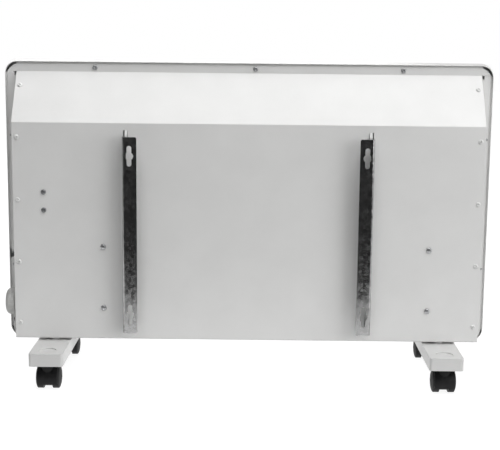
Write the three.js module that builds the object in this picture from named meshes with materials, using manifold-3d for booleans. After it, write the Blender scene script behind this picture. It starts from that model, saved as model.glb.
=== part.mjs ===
// Wall panel convector heater on two castor legs, in millimetres.
// +Z is up, the front panel faces -Y and the wall side faces +Y.
// The origin is on the floor, in the middle of the legs' outline.

import * as THREE from 'three';
import { mergeVertices } from 'three/addons/utils/BufferGeometryUtils.js';
import Module from 'manifold-3d';

const wasm = await Module();
wasm.setup();

// ---------------------------------------------------------------- sizes

// Clearances
const SEAT = 0.3;            // between two pieces that touch
const HOLE_CLEARANCE = 0.35; // round a fastener's shank, per side
const RUN = 0.1;             // round a turning shaft, per side

// Castors
const WHEEL_RADIUS = 18;
const WHEEL_WIDTH = 12.4;
const WHEEL_FACETS = 20;
const CASTOR_WEB = 13.4;
const HOOD_WIDTH = 31;
const HOOD_WALL = 1.6;
const HOOD_GAP = 0.8;
const CASTOR_TRAIL = 7.5;
const AXLE_RADIUS = 2.5;
const STEM_RADIUS = 5.5;
const STEM_LENGTH = 14.5;
const BOSS_RADIUS = 10;
const HOOD_TO_LEG = 3.2;

// Legs
const LEG_LENGTH = 248.5;
const LEG_WIDTH = 51.5;
const LEG_HEIGHT = 19.5;
const LEG_SHEET = 1.5;
const LEG_CORNER = 4;
const LEG_INSET = 60.1;       // leg's middle, in from the casing's side
const LEG_SEAT_RISE = 3;      // the pressed seats that hold the casing clear of the leg
const LEG_SEAT_RADIUS = 8;
const LEG_FORWARD = 11;       // leg's middle, in front of the body's middle
const CASTOR_INSET = 22.5;
const EMBOSS_RADIUS = 13;
const EMBOSS_DEPTH = 1.5;
const SOCKET_WALL = 3.2;
const LEG_SCREW_SPACING = 22;

// Front panel: a tray whose lip is drawn in towards the wall
const PANEL_WIDTH = 766;
const PANEL_HEIGHT = 446;
const PANEL_CORNER = 22;
const PANEL_SHEET = 1.2;
const PANEL_EDGE = 2.5;
const LIP_DEPTH = 17;
const LIP_DRAW_IN = 3;
const PANEL_DROP = 12.5;     // how far the panel hangs below the casing's bottom
const RETURN_FLANGE = 14;    // turned in from the lip, behind the casing's flange
const LOW_RETURN_FLANGE = 7;
const RETURN_NOTCH = 17;     // from the lip to the return flange's end at a corner

// Air outlet
const OUTLET_INSET = 51;
const OUTLET_HEIGHT = 54;
const OUTLET_BELOW_TOP = 26;
const GRILLE_OVERLAP = 7;
const GRILLE_SHEET = 1.6;
const BLADE_PITCH = 9;
const BLADE_DEPTH = 11;
const BLADE_THICKNESS = 1.4;
const BLADE_RISE = 5;
const GRILLE_RIBS = 5;
const RIB_THICKNESS = 2;

// Casing: folded rear cover between two side walls
const BODY_DEPTH = 65;
const SIDE_FLANGE = 14.3;     // casing's side to the flange's edge
const CASING_SHEET = 1;
const BEND_RADIUS = 2;
const TOP_FLANGE = 13.6;     // top of the slope to the flange's edge
const SLOPE_HEIGHT = 75.5;
const FLANGE_RECESS = 3;     // from the lip's edge down to the flange
const FLANGE_SIDE_GAP = 2;
const FLANGE_TOP_GAP = 1.2;
const FLANGE_CORNER_EXTRA = 4; // flange's corner radius over the panel's
const INNER_FLANGE = 15;
const CORNER_RELIEF = { width: 3.2, height: 5.5 };   // in the side flange, at the slope's top
const EDGE_NOTCH = { width: 3.8, height: 11.5, above: 119.8 };  // in the right-hand flange's edge
const INLET_LENGTH = 40;
const INLET_WIDTH = 6;
const INLET_PITCH = 52;
const INLET_ROW_PITCH = 13;
const INLET_COUNT = 9;

// Wall brackets and the casing's hook tabs
const BRACKET_BELOW_BEND = 19;
const BRACKET_SHEET = 1.5;
const BRACKET_BEND = 2;
const BRACKET_STANDOFF = 24;
const BRACKET_FACE = 22.3;
const BRACKET_LIP = 7;
const BRACKET_INSET = 171;    // outer side, in from the casing's side
const BRACKET_ABOVE_BOTTOM = 16;
const KEYHOLE_LENGTH = 31.5;
const KEYHOLE_SLOT = 7.3;
const KEYHOLE_HEAD = 12.5;
const KEYHOLE_END = 13;
const HOOK_WIDTH = 4.2;
const HOOK_RUN = 8;           // height of the joggled part
const HOOK_GRIP = 13.4;       // how far a hook reaches down over the lip
const HOOK_SLOT_GAP = 0.5;
const HOOK_SLOT_WIDE = 2.4;
const LOWER_HOOK_TOP = 24;    // above the bracket's lower end
const SLIDE_TRAVEL = 14;

// Inside the casing
const BAFFLE_SHEET = 0.8;
const BAFFLE_FROM_LIP = 2;
const BAFFLE_TO_SCREW = 2.6;
const ELEMENT_RIGHT_INSET = 138.5;  // screw lines of the element brackets, in from the sides
const ELEMENT_LEFT_INSET = 80.5;
const ELEMENT_SCREW_LOW = 50;
const ELEMENT_SCREW_PITCH = 97;
const ELEMENT_HEIGHT = 80;
const ELEMENT_ARM = 15.5;
const ELEMENT_WEB = 2.4;
const FIN_LENGTH = 5;
const STUD_RADIUS = 3;
const BUSH_RADIUS = 7;
const BUSH_COLLAR = 10;
const ELEMENT_BRACKET_WIDTH = 16;
const CUTOUT_RADIUS = 8;
const CUTOUT_HEIGHT = 9;
const SWITCH_SCREW_HEIGHTS = [232, 204];
const SWITCH_SCREW_INSET = 47.5;
const TIP_SWITCH = { width: 24, depth: 22, height: 46 };
const TERMINAL = { width: 32, depth: 18, height: 15 };
const TERMINAL_INSET = 110.5;
const GLAND_INSET = 18.5;
const GLAND_RADIUS = 7;
const GLAND_DROP = 3;         // below the casing's bottom

// Controls on the right-hand side wall
const CONTROL_PLATE = { margin: 5, height: 76, thickness: 2, corner: 5 };
const CONTROL_PLATE_LOW = 5;
const KNOB_ABOVE_SWITCH = 2.5; // knob's rim to the switch's bezel
const KNOB_MARGIN = 3;        // knob's rim, in from the wall's edges
const KNOB_DEPTH = 15.2;
const KNOB_CROWN = 7;         // radius of the rim's round edge
const KNOB_WALL = 2.4;
const SHAFT_RADIUS = 3;
const THERMOSTAT = { depth: 34, height: 34, width: 24 };
const ROCKER_HEIGHT = 20;     // switch centre above the casing's bottom
const ROCKER = { width: 10.5, height: 17, rise: 3.4, tilt: 8 };
const BEZEL = { width: 15, height: 21, thickness: 2 };
const SWITCH_BODY = { width: 12.6, height: 18.6, depth: 20 };

// Fasteners
const PANEL_SCREW_INSET = 122.5;
const PANEL_SCREW_MIDDLE = -10;
const SHEET_SCREW = { head: 4, rise: 2.2, shank: 1.9, length: 8 };
const ELEMENT_SCREW = { head: 4.4, rise: 2.6, shank: 2, length: 7 };
const LEG_SCREW = { head: 4.6, rise: 3, shank: 2.4, length: 9 };

// ------------------------------------------------------- derived places

const wheelCentreZ = WHEEL_RADIUS * Math.cos(Math.PI / WHEEL_FACETS);
const hoodRadius = WHEEL_RADIUS + HOOD_GAP + HOOD_WALL;
const castorWidth = CASTOR_WEB + 2 * (SEAT + WHEEL_WIDTH) + SEAT;
const legBottomZ = wheelCentreZ + hoodRadius + HOOD_TO_LEG;
const legTopZ = legBottomZ + LEG_HEIGHT;
const socketBottomZ = legBottomZ + LEG_SHEET;
const castorY = LEG_LENGTH / 2 - CASTOR_INSET;

const legSeatZ = legTopZ + LEG_SEAT_RISE;
const casingBottomZ = legSeatZ + SEAT;
const backY = LEG_FORWARD + BODY_DEPTH / 2;
const panelFrontY = LEG_FORWARD - BODY_DEPTH / 2;
const lipY = panelFrontY + LIP_DEPTH;
const flangeY = lipY - FLANGE_RECESS;
const panelBottomZ = casingBottomZ - PANEL_DROP;
const panelCentreZ = panelBottomZ + PANEL_HEIGHT / 2;
const lipTopZ = panelBottomZ + PANEL_HEIGHT - LIP_DRAW_IN;
const lipBottomZ = panelBottomZ + LIP_DRAW_IN;
const lipHalfWidth = PANEL_WIDTH / 2 - LIP_DRAW_IN;
const flangeTopZ = lipTopZ - PANEL_SHEET - FLANGE_TOP_GAP;
const flangeBottomZ = lipBottomZ + PANEL_SHEET + FLANGE_TOP_GAP;
const flangeHalfWidth = lipHalfWidth - PANEL_SHEET - FLANGE_SIDE_GAP;
const flangeCorner = PANEL_CORNER + FLANGE_CORNER_EXTRA;
const slopeTopZ = flangeTopZ - TOP_FLANGE;
const bendZ = slopeTopZ - SLOPE_HEIGHT;
const flangeScrewZ = (slopeTopZ + flangeTopZ) / 2;
const innerBackY = backY - CASING_SHEET;
const middleY = (lipY + backY) / 2;    // line of the element, controls and leg screws
const innerFlangeY = innerBackY - SEAT;
const wallOuterX = flangeHalfWidth - SIDE_FLANGE;
const wallInnerX = wallOuterX - CASING_SHEET;
const floorSheetZ = casingBottomZ + CASING_SHEET;
const legX = wallOuterX - LEG_INSET;
const panelScrewX = wallOuterX - PANEL_SCREW_INSET;
const panelScrewsX = [panelScrewX, PANEL_SCREW_MIDDLE, -panelScrewX];
const legScrewsY = [0, 1].map((row) => middleY + (row - 0.5) * LEG_SCREW_SPACING);

const bracketFaceY = backY + BRACKET_STANDOFF;
const bracketLowZ = casingBottomZ + BRACKET_ABOVE_BOTTOM;
const bracketTopZ = bendZ - BRACKET_BELOW_BEND;
const bracketOuterX = wallOuterX - BRACKET_INSET;
const lipInnerX = bracketOuterX - BRACKET_LIP;
const lipFaceY = backY + SEAT + BRACKET_SHEET;
const hookY = lipFaceY + SEAT + CASING_SHEET / 2;
const upperHookZ = bracketTopZ + SEAT + HOOK_RUN;
const lowerHookZ = bracketLowZ + LOWER_HOOK_TOP;
const lowerLipZ = lowerHookZ - SEAT - HOOK_RUN;

const elementZ = casingBottomZ + ELEMENT_HEIGHT;
const elementRightX = wallOuterX - ELEMENT_RIGHT_INSET;
const elementLeftX = ELEMENT_LEFT_INSET - wallOuterX;
const switchScrewX = wallOuterX - SWITCH_SCREW_INSET;
const terminalX = wallOuterX - TERMINAL_INSET;
const glandX = wallOuterX - GLAND_INSET;
const baffleY = lipY + BAFFLE_FROM_LIP;
const outletTopZ = panelBottomZ + PANEL_HEIGHT - OUTLET_BELOW_TOP;
const outletZ = outletTopZ - OUTLET_HEIGHT / 2;
const outletWidth = PANEL_WIDTH - 2 * OUTLET_INSET;
const sheetBackY = panelFrontY + PANEL_SHEET;
const tipSwitchZ = casingBottomZ + (SWITCH_SCREW_HEIGHTS[0] + SWITCH_SCREW_HEIGHTS[1]) / 2;
const plateOuterX = wallOuterX + SEAT + CONTROL_PLATE.thickness;
const knobX = plateOuterX + SEAT;
const knobRadius = middleY - lipY - KNOB_MARGIN;
const rockerZ = casingBottomZ + ROCKER_HEIGHT;
const knobZ = rockerZ + BEZEL.height / 2 + KNOB_ABOVE_SWITCH + knobRadius;
const bezelX = plateOuterX + SEAT;

// ------------------------------------------------------------ materials

const finish = (color, roughness, metalness) =>
  new THREE.MeshStandardMaterial({ color, roughness, metalness });
const whitePaint = finish(0xe9e9e7, 0.5, 0.05);
const galvanised = finish(0x9a9c9e, 0.38, 0.9);
const zinc = finish(0xb5b7b9, 0.35, 0.9);
const blackSteel = finish(0x1b1b1c, 0.5, 0.4);
const blackPlastic = finish(0x1c1d1f, 0.45, 0);
const greyPlastic = finish(0xcfcfcc, 0.5, 0);
const aluminium = finish(0xa9abac, 0.45, 0.85);
const ceramic = finish(0xe8e2d4, 0.6, 0);
const innerSteel = finish(0xa4a6a7, 0.5, 0.8);

// -------------------------------------------------------------- solids

/** A closed geometry as a manifold solid. */
function solid(geometry) {
  const plain = geometry.index ? geometry.toNonIndexed() : geometry.clone();
  plain.deleteAttribute('normal');
  plain.deleteAttribute('uv');
  const merged = mergeVertices(plain, 1e-4);
  const corners = merged.index.array;
  const triangles = [];
  for (let i = 0; i < corners.length; i += 3) {
    const [a, b, c] = corners.slice(i, i + 3);
    if (a !== b && b !== c && c !== a) {
      triangles.push(a, b, c);
    }
  }
  return new wasm.Manifold(new wasm.Mesh({
    numProp: 3,
    vertProperties: new Float32Array(merged.attributes.position.array),
    triVerts: new Uint32Array(triangles),
  }));
}

/** The first geometry with the added ones joined on and the cut ones taken away. */
function shaped(base, added, cut = []) {
  let result = solid(base);
  added.forEach((piece) => {
    result = result.add(solid(piece));
  });
  cut.forEach((piece) => {
    result = result.subtract(solid(piece));
  });
  const mesh = result.getMesh();
  const geometry = new THREE.BufferGeometry();
  geometry.setAttribute('position', new THREE.BufferAttribute(mesh.vertProperties, 3));
  geometry.setIndex(new THREE.BufferAttribute(mesh.triVerts, 1));
  return geometry;
}

/** A box between two corners. */
function block([x0, y0, z0], [x1, y1, z1]) {
  const box = new THREE.BoxGeometry(x1 - x0, y1 - y0, z1 - z0);
  return box.translate((x0 + x1) / 2, (y0 + y1) / 2, (z0 + z1) / 2);
}

/** A shape drawn in (y, z), drawn out along X. */
function alongX(shape, x0, x1, curveSegments = 4) {
  const options = { depth: x1 - x0, bevelEnabled: false, curveSegments };
  const turn = new THREE.Matrix4().makeBasis(
    new THREE.Vector3(0, 1, 0), new THREE.Vector3(0, 0, 1), new THREE.Vector3(1, 0, 0));
  return new THREE.ExtrudeGeometry(shape, options).applyMatrix4(turn).translate(x0, 0, 0);
}

/** A shape drawn in (x, z), drawn out along Y. */
function alongY(shape, y0, y1, curveSegments = 4) {
  const options = { depth: y1 - y0, bevelEnabled: false, curveSegments };
  return new THREE.ExtrudeGeometry(shape, options).rotateX(Math.PI / 2).translate(0, y1, 0);
}

/** A shape drawn in (x, y), drawn out along Z. */
function alongZ(shape, z0, z1, curveSegments = 4) {
  const options = { depth: z1 - z0, bevelEnabled: false, curveSegments };
  return new THREE.ExtrudeGeometry(shape, options).translate(0, 0, z0);
}

/** A profile of (radius, height) points turned about Z; it starts and ends on the axis or closes. */
function turned(profile, segments, start = 0) {
  const points = profile.map(([radius, height]) => new THREE.Vector2(radius, height));
  return new THREE.LatheGeometry(points, segments, start).rotateX(Math.PI / 2);
}

/** A plain round bar from one end to the other along Z, ready to be turned and placed. */
function bar(radius, from, to, segments = 16) {
  const rod = new THREE.CylinderGeometry(radius, radius, to - from, segments);
  return rod.rotateX(Math.PI / 2).translate(0, 0, (from + to) / 2);
}

const toX = (geometry) => geometry.rotateY(Math.PI / 2);
const toY = (geometry) => geometry.rotateX(-Math.PI / 2);

/** A rectangle with round corners, centred on (x, z). */
function roundedRectangle(width, height, corner, x = 0, z = 0) {
  const shape = new THREE.Shape();
  const right = x + width / 2;
  const top = z + height / 2;
  const left = x - width / 2;
  const low = z - height / 2;
  shape.moveTo(left + corner, low);
  shape.absarc(right - corner, low + corner, corner, -Math.PI / 2, 0, false);
  shape.absarc(right - corner, top - corner, corner, 0, Math.PI / 2, false);
  shape.absarc(left + corner, top - corner, corner, Math.PI / 2, Math.PI, false);
  shape.absarc(left + corner, low + corner, corner, Math.PI, Math.PI * 1.5, false);
  return shape;
}

/** The outline's path with each inner corner rounded to a radius. */
function roundedPath(corners, radius, steps = 3) {
  const path = [corners[0]];
  for (let i = 1; i < corners.length - 1; i += 1) {
    const before = corners[i - 1].clone().sub(corners[i]).normalize();
    const after = corners[i + 1].clone().sub(corners[i]).normalize();
    const half = Math.acos(THREE.MathUtils.clamp(before.dot(after), -1, 1)) / 2;
    const reach = radius / Math.tan(half);
    const start = corners[i].clone().addScaledVector(before, reach);
    const end = corners[i].clone().addScaledVector(after, reach);
    const centre = corners[i].clone().addScaledVector(
      before.clone().add(after).normalize(), radius / Math.sin(half));
    const from = start.clone().sub(centre).angle();
    const sweep = THREE.MathUtils.euclideanModulo(
      end.clone().sub(centre).angle() - from + Math.PI, 2 * Math.PI) - Math.PI;
    for (let k = 0; k <= steps; k += 1) {
      const angle = from + (sweep * k) / steps;
      path.push(new THREE.Vector2(
        centre.x + radius * Math.cos(angle), centre.y + radius * Math.sin(angle)));
    }
  }
  path.push(corners[corners.length - 1]);
  return path;
}

/** The section of folded sheet metal whose middle line runs through the given corners. */
function foldedSheet(corners, thickness, radius) {
  const path = roundedPath(corners.map(([a, b]) => new THREE.Vector2(a, b)), radius);
  const offsets = path.map((point, i) => {
    const last = path[Math.max(i - 1, 0)];
    const next = path[Math.min(i + 1, path.length - 1)];
    const before = (i > 0 ? point.clone().sub(last) : next.clone().sub(point)).normalize();
    const after = (i < path.length - 1 ? next.clone().sub(point) : before.clone()).normalize();
    const normal = new THREE.Vector2(-(before.y + after.y), before.x + after.x).normalize();
    const mitre = normal.x * -before.y + normal.y * before.x;
    return normal.multiplyScalar(thickness / 2 / mitre);
  });
  const oneSide = path.map((point, i) => point.clone().add(offsets[i]));
  const otherSide = path.map((point, i) => point.clone().sub(offsets[i])).reverse();
  return new THREE.Shape([...oneSide, ...otherSide]);
}

/** A solid through rings of equal point counts, closed by a fan on the first and last ring. */
function loft(rings) {
  const count = rings[0].length;
  const positions = rings.flat().flatMap((point) => [point.x, point.y, point.z]);
  const index = [];
  for (let r = 0; r < rings.length - 1; r += 1) {
    for (let i = 0; i < count; i += 1) {
      const a = r * count + i;
      const b = r * count + ((i + 1) % count);
      index.push(a, a + count, b, b, a + count, b + count);
    }
  }
  const lastRing = (rings.length - 1) * count;
  for (let i = 1; i < count - 1; i += 1) {
    index.push(0, i, i + 1);
    index.push(lastRing, lastRing + i + 1, lastRing + i);
  }
  const geometry = new THREE.BufferGeometry();
  geometry.setAttribute('position', new THREE.Float32BufferAttribute(positions, 3));
  geometry.setIndex(index);
  return geometry;
}

/** A ring of points round a rounded rectangle in the plane Y = y, seen from the front. */
function panelRing(width, height, corner, y, centreZ) {
  const outline = roundedRectangle(width, height, corner, 0, centreZ).getPoints(5);
  outline.pop();
  return outline.map((point) => new THREE.Vector3(point.x, y, point.y));
}

/** A pan head screw whose shank points along -Z, with its seat at z = 0. */
function screw({ head, rise, shank, length }) {
  return turned([
    [0, -length], [shank, -length], [shank, 0], [head, 0], [head * 0.75, rise], [0, rise],
  ], 8);
}

/** The clearance hole of a screw along Z, through the given span. */
const screwHole = ({ shank }, from, to) => bar(shank + HOLE_CLEARANCE, from, to, 8);

// ---------------------------------------------------------- front panel

/** The notch in the right-hand flange's edge, flat below and sloping above, in (x, z). */
function edgeNotch(margin) {
  const inner = flangeHalfWidth - EDGE_NOTCH.width - margin;
  const outer = flangeHalfWidth + 1;
  const low = casingBottomZ + EDGE_NOTCH.above - margin;
  const top = low + EDGE_NOTCH.height + 2 * margin;
  return new THREE.Shape([
    new THREE.Vector2(inner, low), new THREE.Vector2(outer, low),
    new THREE.Vector2(outer, (low * 2 + top) / 3), new THREE.Vector2(inner, top),
  ]);
}

/** The tray's outer or inner form: rings from the front face to the lip's edge, drawn in evenly. */
function trayForm(inset, rings) {
  return loft(rings.map(([y, extra]) => {
    const drawIn = LIP_DRAW_IN * ((y - panelFrontY) / LIP_DEPTH) + extra + inset;
    return panelRing(
      PANEL_WIDTH - 2 * drawIn, PANEL_HEIGHT - 2 * drawIn,
      PANEL_CORNER - drawIn, y, panelCentreZ);
  }));
}

function frontPanel() {
  const outer = trayForm(0, [
    [panelFrontY, PANEL_EDGE], [panelFrontY + PANEL_EDGE * 0.3, PANEL_EDGE * 0.3],
    [panelFrontY + PANEL_EDGE, 0], [lipY, 0],
  ]);
  const inner = trayForm(PANEL_SHEET, [
    [sheetBackY, PANEL_EDGE / 2], [sheetBackY + PANEL_EDGE / 2, 0], [lipY + 1, 0],
  ]);
  const outlet = alongY(
    roundedRectangle(outletWidth, OUTLET_HEIGHT, 6, 0, outletZ),
    panelFrontY - 1, sheetBackY + 1);
  // The return flange behind the casing's flange, in four strips that stop short of the corners
  const returnBack = flangeY - CASING_SHEET - SEAT;
  const returnFront = returnBack - PANEL_SHEET;
  const inLip = (LIP_DRAW_IN * (returnBack - panelFrontY)) / LIP_DEPTH + PANEL_SHEET / 2;
  const topZ = panelBottomZ + PANEL_HEIGHT - inLip;
  const lowZ = panelBottomZ + inLip;
  const edgeX = PANEL_WIDTH / 2 - inLip;
  const strip = (x0, x1, z0, z1) => block(
    [Math.min(x0, x1), returnFront, z0], [Math.max(x0, x1), returnBack, z1]);
  const endX = edgeX - RETURN_NOTCH;
  const strips = [
    strip(-endX, endX, topZ - RETURN_FLANGE, topZ),
    strip(-endX, endX, lowZ, lowZ + LOW_RETURN_FLANGE),
    ...[-1, 1].map((side) => strip(
      side * edgeX, side * (edgeX - RETURN_FLANGE), lowZ + RETURN_NOTCH, topZ - RETURN_NOTCH)),
  ];
  const holes = panelScrewsX.map((x) => toY(
    screwHole(SHEET_SCREW, returnFront - 1, returnBack + 1)).translate(x, 0, flangeScrewZ));
  const notch = alongY(edgeNotch(1.5), returnFront - 1, returnBack + 1);
  return shaped(shaped(outer, [], [inner, outlet]), strips, [...holes, notch]);
}

/** One air guide: a curved blade section in (y, z), rising towards the front. */
function bladeSection(y, z) {
  const half = BLADE_THICKNESS / 2;
  const upper = new THREE.QuadraticBezierCurve(
    new THREE.Vector2(y + BLADE_DEPTH, z + half),
    new THREE.Vector2(y + BLADE_DEPTH * 0.4, z + half),
    new THREE.Vector2(y, z + BLADE_RISE + half)).getPoints(3);
  const lower = upper.map((point) => new THREE.Vector2(point.x, point.y - BLADE_THICKNESS));
  return new THREE.Shape([...upper, ...lower.reverse()]);
}

function outletGrille() {
  const frontY = sheetBackY + SEAT;
  const frame = roundedRectangle(
    outletWidth + 2 * GRILLE_OVERLAP, OUTLET_HEIGHT + 2 * GRILLE_OVERLAP, 4, 0, outletZ);
  frame.holes.push(roundedRectangle(outletWidth - 2, OUTLET_HEIGHT - 2, 5, 0, outletZ));
  const plate = alongY(frame, frontY, frontY + GRILLE_SHEET);
  const halfWidth = outletWidth / 2;
  const blades = [];
  const count = Math.floor((OUTLET_HEIGHT - 2) / BLADE_PITCH);
  const first = outletZ - ((count - 1) * BLADE_PITCH) / 2 - BLADE_RISE / 2;
  for (let i = 0; i < count; i += 1) {
    blades.push(alongX(bladeSection(frontY, first + i * BLADE_PITCH), -halfWidth, halfWidth));
  }
  const ribs = [];
  for (let i = 0; i < GRILLE_RIBS; i += 1) {
    const x = -halfWidth + (outletWidth * (i + 1)) / (GRILLE_RIBS + 1);
    ribs.push(block(
      [x - RIB_THICKNESS / 2, frontY + 1, outletZ - OUTLET_HEIGHT / 2],
      [x + RIB_THICKNESS / 2, frontY + BLADE_DEPTH - 1, outletZ + OUTLET_HEIGHT / 2]));
  }
  return shaped(plate, [...blades, ...ribs]);
}

// --------------------------------------------------------------- casing

/** The top flange's outline with its two large corners. */
function topFlangeShape() {
  const shape = new THREE.Shape();
  const rise = flangeTopZ - slopeTopZ;
  const start = Math.asin(1 - rise / flangeCorner);
  const centreX = flangeHalfWidth - flangeCorner * Math.cos(start);
  const centreZ = flangeTopZ - flangeCorner;
  shape.absarc(centreX, centreZ, flangeCorner, start, Math.PI / 2, false);
  shape.absarc(-centreX, centreZ, flangeCorner, Math.PI / 2, Math.PI - start, false);
  return shape;
}

/** A hook tab lanced out of the back wall: joined at its top, set out over the bracket's lip. */
function hookTab(side, topZ, tipZ) {
  const wallY = backY - CASING_SHEET / 2;
  const section = foldedSheet([
    [wallY, topZ + 2], [wallY, topZ], [hookY, topZ - HOOK_RUN], [hookY, tipZ],
  ], CASING_SHEET, 0.8);
  const inner = lipInnerX + HOOK_SLOT_GAP;
  return side > 0
    ? alongX(section, inner, inner + HOOK_WIDTH)
    : alongX(section, -inner - HOOK_WIDTH, -inner);
}

/** The opening that a hook tab leaves in the back wall. */
function hookOpening(side, topZ, tipZ) {
  const inner = side * lipInnerX;
  const outer = side * (lipInnerX + HOOK_SLOT_GAP + HOOK_WIDTH + HOOK_SLOT_WIDE);
  return block(
    [Math.min(inner, outer), backY - CASING_SHEET - 1, tipZ - 1],
    [Math.max(inner, outer), backY + 1, topZ]);
}

const hooks = [1, -1].flatMap((side) => [
  { side, top: upperHookZ, tip: bracketTopZ - HOOK_GRIP },
  { side, top: lowerHookZ, tip: lowerLipZ - HOOK_GRIP },
]);

/** Where the screws of the two element brackets stand. */
const elementScrews = [elementRightX, elementLeftX].flatMap((x) => [0, 1].map((row) => ({
  x, z: casingBottomZ + ELEMENT_SCREW_LOW + row * ELEMENT_SCREW_PITCH,
})));
const tipSwitchScrews = SWITCH_SCREW_HEIGHTS.map((height) => ({
  x: switchScrewX, z: casingBottomZ + height,
}));

function rearCover() {
  const half = CASING_SHEET / 2;
  const section = foldedSheet([
    [flangeY - half, flangeTopZ], [flangeY - half, slopeTopZ], [backY - half, bendZ],
    [backY - half, casingBottomZ + half], [flangeY - half, casingBottomZ + half],
    [flangeY - half, flangeBottomZ],
  ], CASING_SHEET, BEND_RADIUS);
  const sheet = alongX(section, -wallOuterX, wallOuterX);
  const flange = alongY(topFlangeShape(), flangeY - CASING_SHEET, flangeY, 6);
  const tabs = hooks.map(({ side, top, tip }) => hookTab(side, top, tip));
  const openings = hooks.map(({ side, top, tip }) => hookOpening(side, top, tip));
  const holes = [];
  elementScrews.forEach(({ x, z }) => {
    holes.push(toY(screwHole(ELEMENT_SCREW, innerBackY - 1, backY + 1)).translate(x, 0, z));
  });
  tipSwitchScrews.forEach(({ x, z }) => {
    holes.push(toY(screwHole(SHEET_SCREW, innerBackY - 1, backY + 1)).translate(x, 0, z));
  });
  panelScrewsX.forEach((x) => {
    const hole = toY(screwHole(SHEET_SCREW, flangeY - CASING_SHEET - 1, flangeY + 1));
    holes.push(hole.translate(x, 0, flangeScrewZ));
  });
  [-1, 1].forEach((side) => legScrewsY.forEach((y) => {
    const hole = screwHole(LEG_SCREW, casingBottomZ - 1, floorSheetZ + 1);
    holes.push(hole.translate(side * legX, y, 0));
  }));
  holes.push(bar(GLAND_RADIUS + HOLE_CLEARANCE, casingBottomZ - 1, floorSheetZ + 1, 16)
    .translate(glandX, middleY, 0));
  for (let row = 0; row < 2; row += 1) {
    for (let i = 0; i < INLET_COUNT; i += 1) {
      const slot = roundedRectangle(
        INLET_LENGTH, INLET_WIDTH, INLET_WIDTH / 2 - 0.01,
        (i - (INLET_COUNT - 1) / 2) * INLET_PITCH, middleY + (row - 0.5) * INLET_ROW_PITCH);
      holes.push(alongZ(slot, casingBottomZ - 1, floorSheetZ + 1, 2));
    }
  }
  const cut = shaped(sheet, [flange], [...openings, ...holes]);
  return shaped(cut, tabs);
}

/** A point on the inside of the slope's sheet, a share of the way down from the top. */
function slopeInside(share, depth) {
  const run = backY - flangeY;
  const length = Math.hypot(run, SLOPE_HEIGHT);
  return [
    flangeY + run * share - (depth * SLOPE_HEIGHT) / length,
    slopeTopZ - SLOPE_HEIGHT * share - (depth * run) / length,
  ];
}

function sideWall(side, cuts) {
  const x0 = side > 0 ? wallInnerX : -wallOuterX;
  const x1 = x0 + CASING_SHEET;
  const gap = CASING_SHEET + SEAT;
  const frontY = flangeY - CASING_SHEET;
  const upper = slopeInside(0.12, gap);
  const lower = slopeInside(1, gap);
  const floorZ = floorSheetZ + SEAT;
  const outline = new THREE.Shape([
    new THREE.Vector2(frontY, floorZ), new THREE.Vector2(innerFlangeY - BEND_RADIUS, floorZ),
    new THREE.Vector2(innerFlangeY, floorZ + BEND_RADIUS),
    new THREE.Vector2(innerFlangeY, lower[1] + (lower[0] - innerFlangeY)),
    new THREE.Vector2(...slopeInside(0.96, gap)),
    new THREE.Vector2(...upper), new THREE.Vector2(frontY, upper[1]),
  ]);
  const wall = alongX(outline, x0, x1);
  const reach = (from, width) => [
    Math.min(from, from - side * width), Math.max(from, from - side * width)];
  const [inX0, inX1] = reach(side * wallOuterX, INNER_FLANGE);
  const backFlange = block(
    [inX0, innerFlangeY - CASING_SHEET, floorZ + 2 * BEND_RADIUS],
    [inX1, innerFlangeY, lower[1] - 2 * BEND_RADIUS]);
  const slopeFlange = alongX(new THREE.Shape([
    new THREE.Vector2(...slopeInside(0.16, gap)), new THREE.Vector2(...slopeInside(0.9, gap)),
    new THREE.Vector2(...slopeInside(0.9, gap + CASING_SHEET)),
    new THREE.Vector2(...slopeInside(0.16, gap + CASING_SHEET)),
  ]), inX0, inX1);
  // The outward flange stops under the top flange and is cut round the panel's lower corner
  const flange = new THREE.Shape();
  const near = side * wallInnerX;
  const clear = side * (wallOuterX + SEAT);
  const far = side * flangeHalfWidth;
  const corner = flangeHalfWidth - wallOuterX;
  const reliefX = clear + side * CORNER_RELIEF.width;
  const reliefZ = slopeTopZ - CORNER_RELIEF.height;
  flange.moveTo(reliefX, slopeTopZ - SEAT);
  flange.lineTo(far, slopeTopZ - SEAT);
  flange.lineTo(far, flangeBottomZ + corner);
  flange.quadraticCurveTo(far, flangeBottomZ, clear, flangeBottomZ);
  flange.lineTo(clear, floorZ);
  flange.lineTo(near, floorZ);
  flange.lineTo(near, upper[1] - 1);
  flange.lineTo(clear, upper[1] - 1);
  flange.lineTo(clear, reliefZ);
  flange.lineTo(reliefX, reliefZ);
  flange.closePath();
  const outward = alongY(flange, frontY, flangeY);
  return shaped(wall, [backFlange, slopeFlange, outward], cuts);
}

function rightSideWall() {
  const shaftHole = toX(bar(
    SHAFT_RADIUS + 1, wallInnerX - 2, wallOuterX + 2)).translate(0, middleY, knobZ);
  const width = SWITCH_BODY.width + 2 * SEAT;
  const height = SWITCH_BODY.height + 2 * SEAT;
  const switchHole = block(
    [wallInnerX - 2, middleY - width / 2, rockerZ - height / 2],
    [wallOuterX + 2, middleY + width / 2, rockerZ + height / 2]);
  const notch = alongY(edgeNotch(0), flangeY - CASING_SHEET - 1, flangeY + 1);
  return sideWall(1, [shaftHole, switchHole, notch]);
}

// -------------------------------------------------------- wall brackets

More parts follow.
